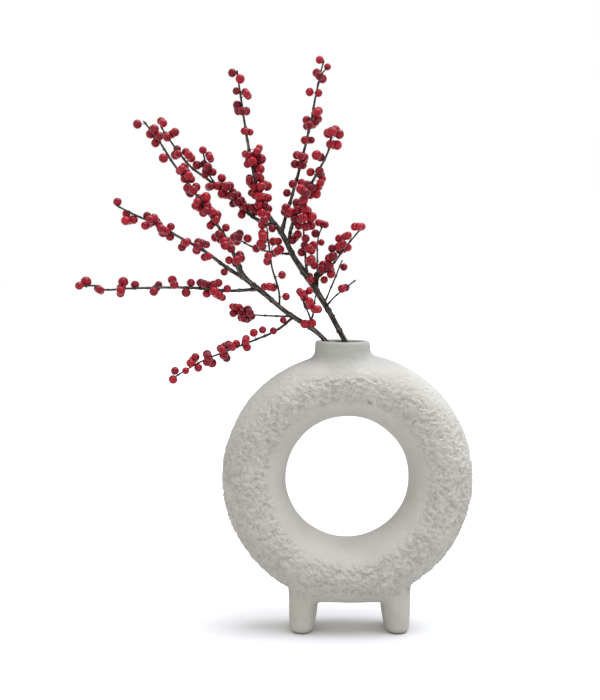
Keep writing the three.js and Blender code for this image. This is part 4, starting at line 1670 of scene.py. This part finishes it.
@dataclass(frozen=True)
class StonewareFinish:
    """Unglazed off-white stoneware, greyer on the neck, with painted shade in the dips of its wrinkles and
    fine grit.

    Heights and the relief's depth are in metres.
    """

    slot: str = "stoneware"
    pale: Colour = (0.41, 0.397, 0.352, 1)
    warm: Colour = (0.38, 0.362, 0.312, 1)
    # Painted shade: the colour that the dips of the wrinkles are darkened towards.
    hollow: Colour = (0.31, 0.296, 0.26, 1)
    grit: Colour = (0.27, 0.256, 0.225, 1)
    neck: Colour = (0.275, 0.272, 0.242, 1)
    neck_heights: Pair = (0.270, 0.286)
    relief_strength: float = 0.85
    relief_depth: float = 0.0011

    @functools.cache
    def material(self) -> bpy.types.Material:
        """Makes the material, once for all the pieces that it dresses.

        Returns:
            The material.
        """
        shader = Shader("stoneware")
        place, relief = shader.place(), shader.mark("relief")
        clouds = shader.noise(place, 28, 3).between(0.35, 0.68)
        colour = shader.mix(clouds, self.pale, self.warm)
        # Painted shade: up to 55% darker where the relief dips below its middle.
        painted_crease_shade = (0.0 - relief).between(0.0, 0.5) * 0.55
        colour = shader.mix(painted_crease_shade, colour, self.hollow)
        grains = shader.noise(place, 900, 1, 3.0)
        colour = shader.mix(grains.between(0.66, 0.78) * 0.35, colour, self.grit)
        height = Signal(shader, shader.node("ShaderNodeSeparateXYZ", {}, {0: place}).outputs[2])
        colour = shader.mix(height.between(*self.neck_heights) * 0.8, colour, self.neck)
        rough = 0.82 + shader.noise(place, 130, 2, 5.0) * 0.14
        worms = (shader.noise(place, 125, 1, 6.0) - 0.5).size().between(0.0, 0.12)
        curls = (shader.noise(place, 240, 1, 9.0) - 0.5).size().between(0.0, 0.14)
        wrinkles = (worms + curls * 0.4) * shader.mark("wrinkled")
        sand = shader.noise(place, 620, 3, 8.0) * 0.4 + shader.noise(place, 210, 2, 2.0) * 0.4
        dabs = shader.noise(shader.stretched(place, (1.0, 1.0, 1.6)), 75, 2, 12.0) * 2.0
        normal = shader.bump(sand + dabs - wrinkles, self.relief_strength, self.relief_depth)
        return shader.surface(Base_Color=colour, Roughness=rough, Normal=normal, Specular_IOR_Level=0.35)


@dataclass(frozen=True)
class BarkFinish:
    """Dark grey-brown bark with dots and lengthwise streaks, greener when young, and a painted sheen on its
    front.
    """

    slot: str = "bark"
    dark: Colour = (0.010, 0.0072, 0.006, 1)
    # The pale streaks' colour, also the painted sheen where the bark faces the front.
    streak_and_sheen: Colour = (0.20, 0.170, 0.138, 1)
    olive: Colour = (0.045, 0.034, 0.020, 1)
    young: Colour = (0.026, 0.017, 0.012, 1)
    dot: Colour = (0.26, 0.23, 0.18, 1)
    furrow_strength: float = 0.5
    furrow_depth: float = 0.00035

    @functools.cache
    def material(self) -> bpy.types.Material:
        """Makes the material, once for all the pieces that it dresses.

        Returns:
            The material.
        """
        shader = Shader("bark")
        grain, age = shader.mark("grain", "Vector"), shader.mark("age")
        long_grain = shader.stretched(grain, (1.0, 1.0, 0.09))
        streaks = shader.noise(long_grain, 1.15, 4).between(0.46, 0.64)
        # Painted sheen: the pale streaks show in full where the bark faces the front, and at 12% of their
        # strength elsewhere.
        sheen = shader.mark("front").between(0.4, 0.97)
        mosses = shader.noise(grain, 0.16, 2, 4.0).between(0.45, 0.7)
        old = shader.mix(streaks * (0.12 + sheen * 0.88), self.dark, self.streak_and_sheen)
        old = shader.mix(mosses * 0.35, old, self.olive)
        fresh = shader.mix(streaks * 0.6, self.young, self.olive)
        colour = shader.mix(age.between(0.5, 1.0), fresh, old)
        dots = shader.noise(shader.stretched(grain, (1.0, 1.0, 0.6)), 1.5, 0, 7.0).between(0.70, 0.78)
        colour = shader.mix(dots * 0.6, colour, self.dot)
        rough = 0.5 + streaks * 0.15
        furrows = shader.noise(long_grain, 2.6, 3, 2.0) + dots * 0.5
        normal = shader.bump(furrows, self.furrow_strength, self.furrow_depth)
        return shader.surface(Base_Color=colour, Roughness=rough, Normal=normal, Specular_IOR_Level=0.15)


@dataclass(frozen=True)
class BerryFinish:
    """Satin red skin that differs from berry to berry, dark on the tip, and brown where one has withered."""

    slot: str = "berry"
    bright: Colour = (0.365, 0.0085, 0.0195, 1)
    deep: Colour = (0.075, 0.0025, 0.008, 1)
    scar: Colour = (0.018, 0.009, 0.006, 1)
    withered: Colour = (0.035, 0.014, 0.010, 1)
    scar_heights: Pair = (0.895, 0.93)
    skin_strength: float = 0.12
    skin_depth: float = 0.0002

    @functools.cache
    def material(self) -> bpy.types.Material:
        """Makes the material, once for all the pieces that it dresses.

        Returns:
            The material.
        """
        shader = Shader("berry")
        skin, tone, vigour = shader.mark("skin", "Vector"), shader.mark("tone"), shader.mark("vigour")
        up = Signal(shader, shader.node("ShaderNodeSeparateXYZ", {}, {0: skin}).outputs[2])
        blush = shader.noise(skin, 0.9, 2, tone * 60.0).between(0.25, 0.75)
        share = tone * 0.6 + blush * 0.4
        colour = shader.mix(share, self.bright, self.deep)
        colour = shader.mix(up.between(*self.scar_heights), colour, self.scar)
        colour = shader.mix(vigour, colour, self.withered)
        rough = 0.14 + shader.noise(skin, 3.0, 2, tone * 31.0) * 0.10 + vigour * 0.4
        dimples = shader.noise(skin, 9.0, 2, tone * 17.0)
        normal = shader.bump(dimples, self.skin_strength, self.skin_depth)
        return shader.surface(Base_Color=colour, Roughness=rough, Normal=normal, Specular_IOR_Level=0.2)


Finish = StonewareFinish | BarkFinish | BerryFinish


def hand_over(name: str, shape: Shape, finish: Finish, node: str) -> None:
    """Hands a finished shape over as a piece of the object.

    Args:
        name: The piece's name.
        shape: Its shape, in millimetres round the ring's middle.
        finish: What it is dressed in.
        node: The solid that it stands for.
    """
    shape.corners = (shape.corners + MIDDLE) * MM
    piece = shape.as_object(name)
    for mark, values in shape.marks.items():
        kind, key = ("FLOAT", "value") if values.ndim == 1 else ("FLOAT_VECTOR", "vector")
        attribute = piece.data.attributes.new(mark, kind, "POINT")
        attribute.data.foreach_set(key, values.astype(np.float32).ravel())
    piece.data.shade_smooth()
    piece.data.materials.append(finish.material())
    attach(piece, BODY)
    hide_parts(node)
    triangles = sum(len(face) - 2 for face in shape.faces)
    LOG.info("%s: %d triangles, stands for %s", name, triangles, node)


@dataclass(frozen=True)
class Branches:
    """Both cut branches: their stems, and the sprays of twigs and berries that grow from them."""

    drawing: Drawing = Drawing()
    rule: BerryRule = BerryRule()
    bark: Bark = Bark()
    skin: BerrySkin = BerrySkin()
    side_radius: Pair = (0.8, 0.6)
    stem_collar: float = 0.0
    twig_collar: float = 0.5
    twig_girth: float = 1.2
    grown_twig_radius: float = 1.2
    first_stem_node: float = 9.0
    stem_node_spacing: float = 24.0
    stem_clearance: float = 0.4
    stand_search: Pair = (40.0, 0.5)

    def _twigs_of(self, plan: SprayPlan, stems: Mapping[str, Route]) -> list[Twig]:
        """Lays the twigs of a spray: the main one and, on some, a side twig.

        Args:
            plan: How the spray grows.
            stems: The routes of the stems.

        Returns:
            The twigs.
        """
        root = self.drawing.nearest(stems[plan.stem], plan.route[0])
        main = self.drawing.twig(root, plan.route[1:], plan.depth)
        grown = [Twig(main, plan.radius, plan.berries, plan.withered)]
        if plan.side:
            fork = main.points(np.array([plan.side.at / main.length]))[0]
            side = self.drawing.twig(fork, plan.side.route, plan.side.depth)
            grown.append(Twig(side, self.side_radius, plan.side.berries))
        return grown

    def _all_berries(
        self, twigs: Mapping[str, list[Twig]], thicket: Thicket
    ) -> dict[str, list[list[Berry]]]:
        """Hangs every berry: first the drawn ones, in the solid model's order, then the hidden ones.

        Args:
            twigs: The twigs of each spray.
            thicket: The wood that the berries keep clear of.

        Returns:
            For each spray, the berries of each of its twigs.
        """
        placed: dict[str, list[list[Berry]]] = {name: [[] for _ in grown] for name, grown in twigs.items()}
        for name, grown in twigs.items():
            for twig, hung in zip(grown, placed[name]):
                for number, drawn in enumerate(twig.berries):
                    vigour = Vigour.WITHERED if number in twig.withered else Vigour.RIPE
                    hung.extend(thicket.hang(twig, name, drawn, number % 2 == 0, vigour))
        for name, grown in twigs.items():
            for twig, hung in zip(grown, placed[name]):
                for number, drawn in enumerate(self._hidden(twig)):
                    hung.extend(thicket.hang(twig, name, drawn, number % 2 == 1, Vigour.RIPE))
        return placed

    def _hidden(self, twig: Twig) -> list[Triple]:
        """Draws a berry between each two close ones: those that the others hide in the view.

        Args:
            twig: The twig.

        Returns:
            The place and radius of each, as drawn.
        """
        pairs = itertools.combinations(twig.berries, 2)
        close = [pair for pair in pairs if math.dist(pair[0][:2], pair[1][:2]) < self.rule.cluster_reach]
        return [tuple((p + q) / 2 for p, q in zip(*pair)) for pair in close]

    def _stem(self, name: str, route: Route, vase: Vase, grain: Noise) -> Shape:
        """Builds a stem from where it stands on the inside of the vase.

        Args:
            name: The stem's name.
            route: The way it runs.
            vase: The vase that it stands in.
            grain: The noise of its bark.

        Returns:
            The stem.
        """
        plan = STEMS[name]
        along = np.arange(0, *self.stand_search)
        depth = vase.depth_in_cavity(route.points(along / route.length))
        start = float(along[(depth > plan.radius[0] + self.stem_clearance).argmax()])
        nodes = np.arange(start + self.first_stem_node, route.length, self.stem_node_spacing)
        girth = Girth(plan.girth)
        wood = [self.bark.length_of_wood(route, girth, nodes, self.stem_collar, Age.OLD, grain, start)]
        for snag in SNAGS:
            if snag.stem == name:
                foot, direction = self.drawing.nearest(route, snag.place), unit(np.array(snag.direction))
                wood.append(self.bark.bud(foot, direction, snag.size, Age.OLD))
        return Shape.joined(wood)

    def build(self, vase: Vase) -> None:
        """Builds both branches and hands them over.

        Args:
            vase: The vase that they stand in.
        """
        grain = Noise(31)
        stems = {name: self.drawing.stem(plan) for name, plan in STEMS.items()}
        twigs = {name: self._twigs_of(plan, stems) for name, plan in SPRAYS.items()}
        thicket = Thicket(self.rule, self.drawing)
        for name, route in stems.items():
            thicket.add_wood(route, STEMS[name].radius, name)
        for name, grown in twigs.items():
            for twig in grown:
                thicket.add_wood(twig.route, twig.radius, name)
        for name, route in stems.items():
            hand_over(f"{name}_wood", self._stem(name, route, vase, grain), BarkFinish(), name)
        for name, berries in self._all_berries(twigs, thicket).items():
            self._build_spray(name, twigs[name], berries, grain)

    def _build_spray(self, name: str, grown: list[Twig], berries: list[list[Berry]], grain: Noise) -> None:
        """Builds one spray and hands over its wood and its berries.

        Args:
            name: The spray's name.
            grown: Its twigs.
            berries: The berries of each twig.
            grain: The noise of wood and skins.
        """
        wood: list[Shape] = []
        for twig, hung in zip(grown, berries):
            age = Age.GROWN if twig.radius[0] > self.grown_twig_radius else Age.YOUNG
            nodes = self.bark.nodes_of(twig, hung)
            thick, thin = (self.twig_girth * radius for radius in twig.radius)
            girth = Girth(((0, thick), (twig.route.length, thin)))
            wood.append(self.bark.length_of_wood(twig.route, girth, nodes, self.twig_collar, age, grain))
            wood += self.bark.buds_along(twig.route, girth, nodes, age)
            end = np.array([1.0])
            tip, forward = twig.route.points(end)[0], twig.route.directions(end)[0]
            wood.append(self.bark.bud(tip, forward, self.bark.tip_bud_size, Age.OLD))
        everything = [berry for hung in berries for berry in hung]
        wood += [self.bark.stalk(berry, grain) for berry in everything]
        skins = [self.skin.grow(berry, grain) for berry in everything]
        hand_over(f"{name}_twig", Shape.joined(wood), BarkFinish(), name)
        hand_over(f"{name}_berries", Shape.joined(skins), BerryFinish(), name)


@dataclass(frozen=True)
class Studio:
    """A pale floor, soft light from above and the camera, where the picture was taken from."""

    eye: Triple = (-48.7, -1111.0, 366.2)
    tilt_down: float = 3.906
    lens: float = 55.9
    sensor: float = 36.0
    floor_radius: float = 30.0
    floor_sides: int = 64
    floor_colour: Colour = (0.66, 0.655, 0.645, 1)
    air: Colour = (1.0, 1.0, 1.0, 1)
    sun_from: Triple = (0.27, -0.06, 1.0)
    sun_colour: Triple = (0.955, 0.995, 1.14)
    sun_strength: float = 3.8
    sun_softness: float = 54.0

    def _camera(self) -> None:
        """Sets up the camera."""
        data = bpy.data.cameras.new("camera")
        data.sensor_width = self.sensor
        data.lens = self.lens
        camera = bpy.data.objects.new("camera", data)
        camera.location = (np.array(self.eye) + MIDDLE) * MM
        camera.rotation_euler = (math.radians(90 - self.tilt_down), 0.0, 0.0)
        bpy.context.scene.collection.objects.link(camera)
        bpy.context.scene.camera = camera

    def _light(self) -> None:
        """Sets up the even light of the room and one broad soft light from the upper right."""
        world = bpy.data.worlds.new("room")
        world.use_nodes = True
        world.node_tree.nodes["Background"].inputs["Color"].default_value = self.air
        bpy.context.scene.world = world
        data = bpy.data.lights.new("softbox", "SUN")
        data.energy = self.sun_strength
        data.color = self.sun_colour
        data.angle = math.radians(self.sun_softness)
        sun = bpy.data.objects.new("softbox", data)
        sun.rotation_euler = Vector(self.sun_from).to_track_quat("Z", "Y").to_euler()
        bpy.context.scene.collection.objects.link(sun)

    def _floor(self) -> None:
        """Lays the floor."""
        angles = np.linspace(0, 2 * math.pi, self.floor_sides, endpoint=False)
        rim = [(self.floor_radius * math.cos(a), self.floor_radius * math.sin(a), 0.0) for a in angles]
        floor = Shape(np.array(rim), [tuple(range(len(rim)))], {}).as_object("floor")
        shader = Shader("floor")
        floor.data.materials.append(shader.surface(Base_Color=self.floor_colour, Roughness=0.9))

    def build(self) -> None:
        """Builds the studio."""
        self._camera()
        self._light()
        self._floor()
        bpy.context.scene.view_settings.view_transform = "Standard"
        LOG.info("studio: camera, light and floor")


def main() -> None:
    """Builds the studio, the vase and the branches."""
    logging.basicConfig(level=logging.INFO, format="%(message)s")
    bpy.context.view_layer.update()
    Studio().build()
    vase = Vase()
    hand_over("vase_body", vase.build(), StonewareFinish(), "vase")
    Branches().build(vase)
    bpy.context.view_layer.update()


if __name__ == "__main__":
    main()
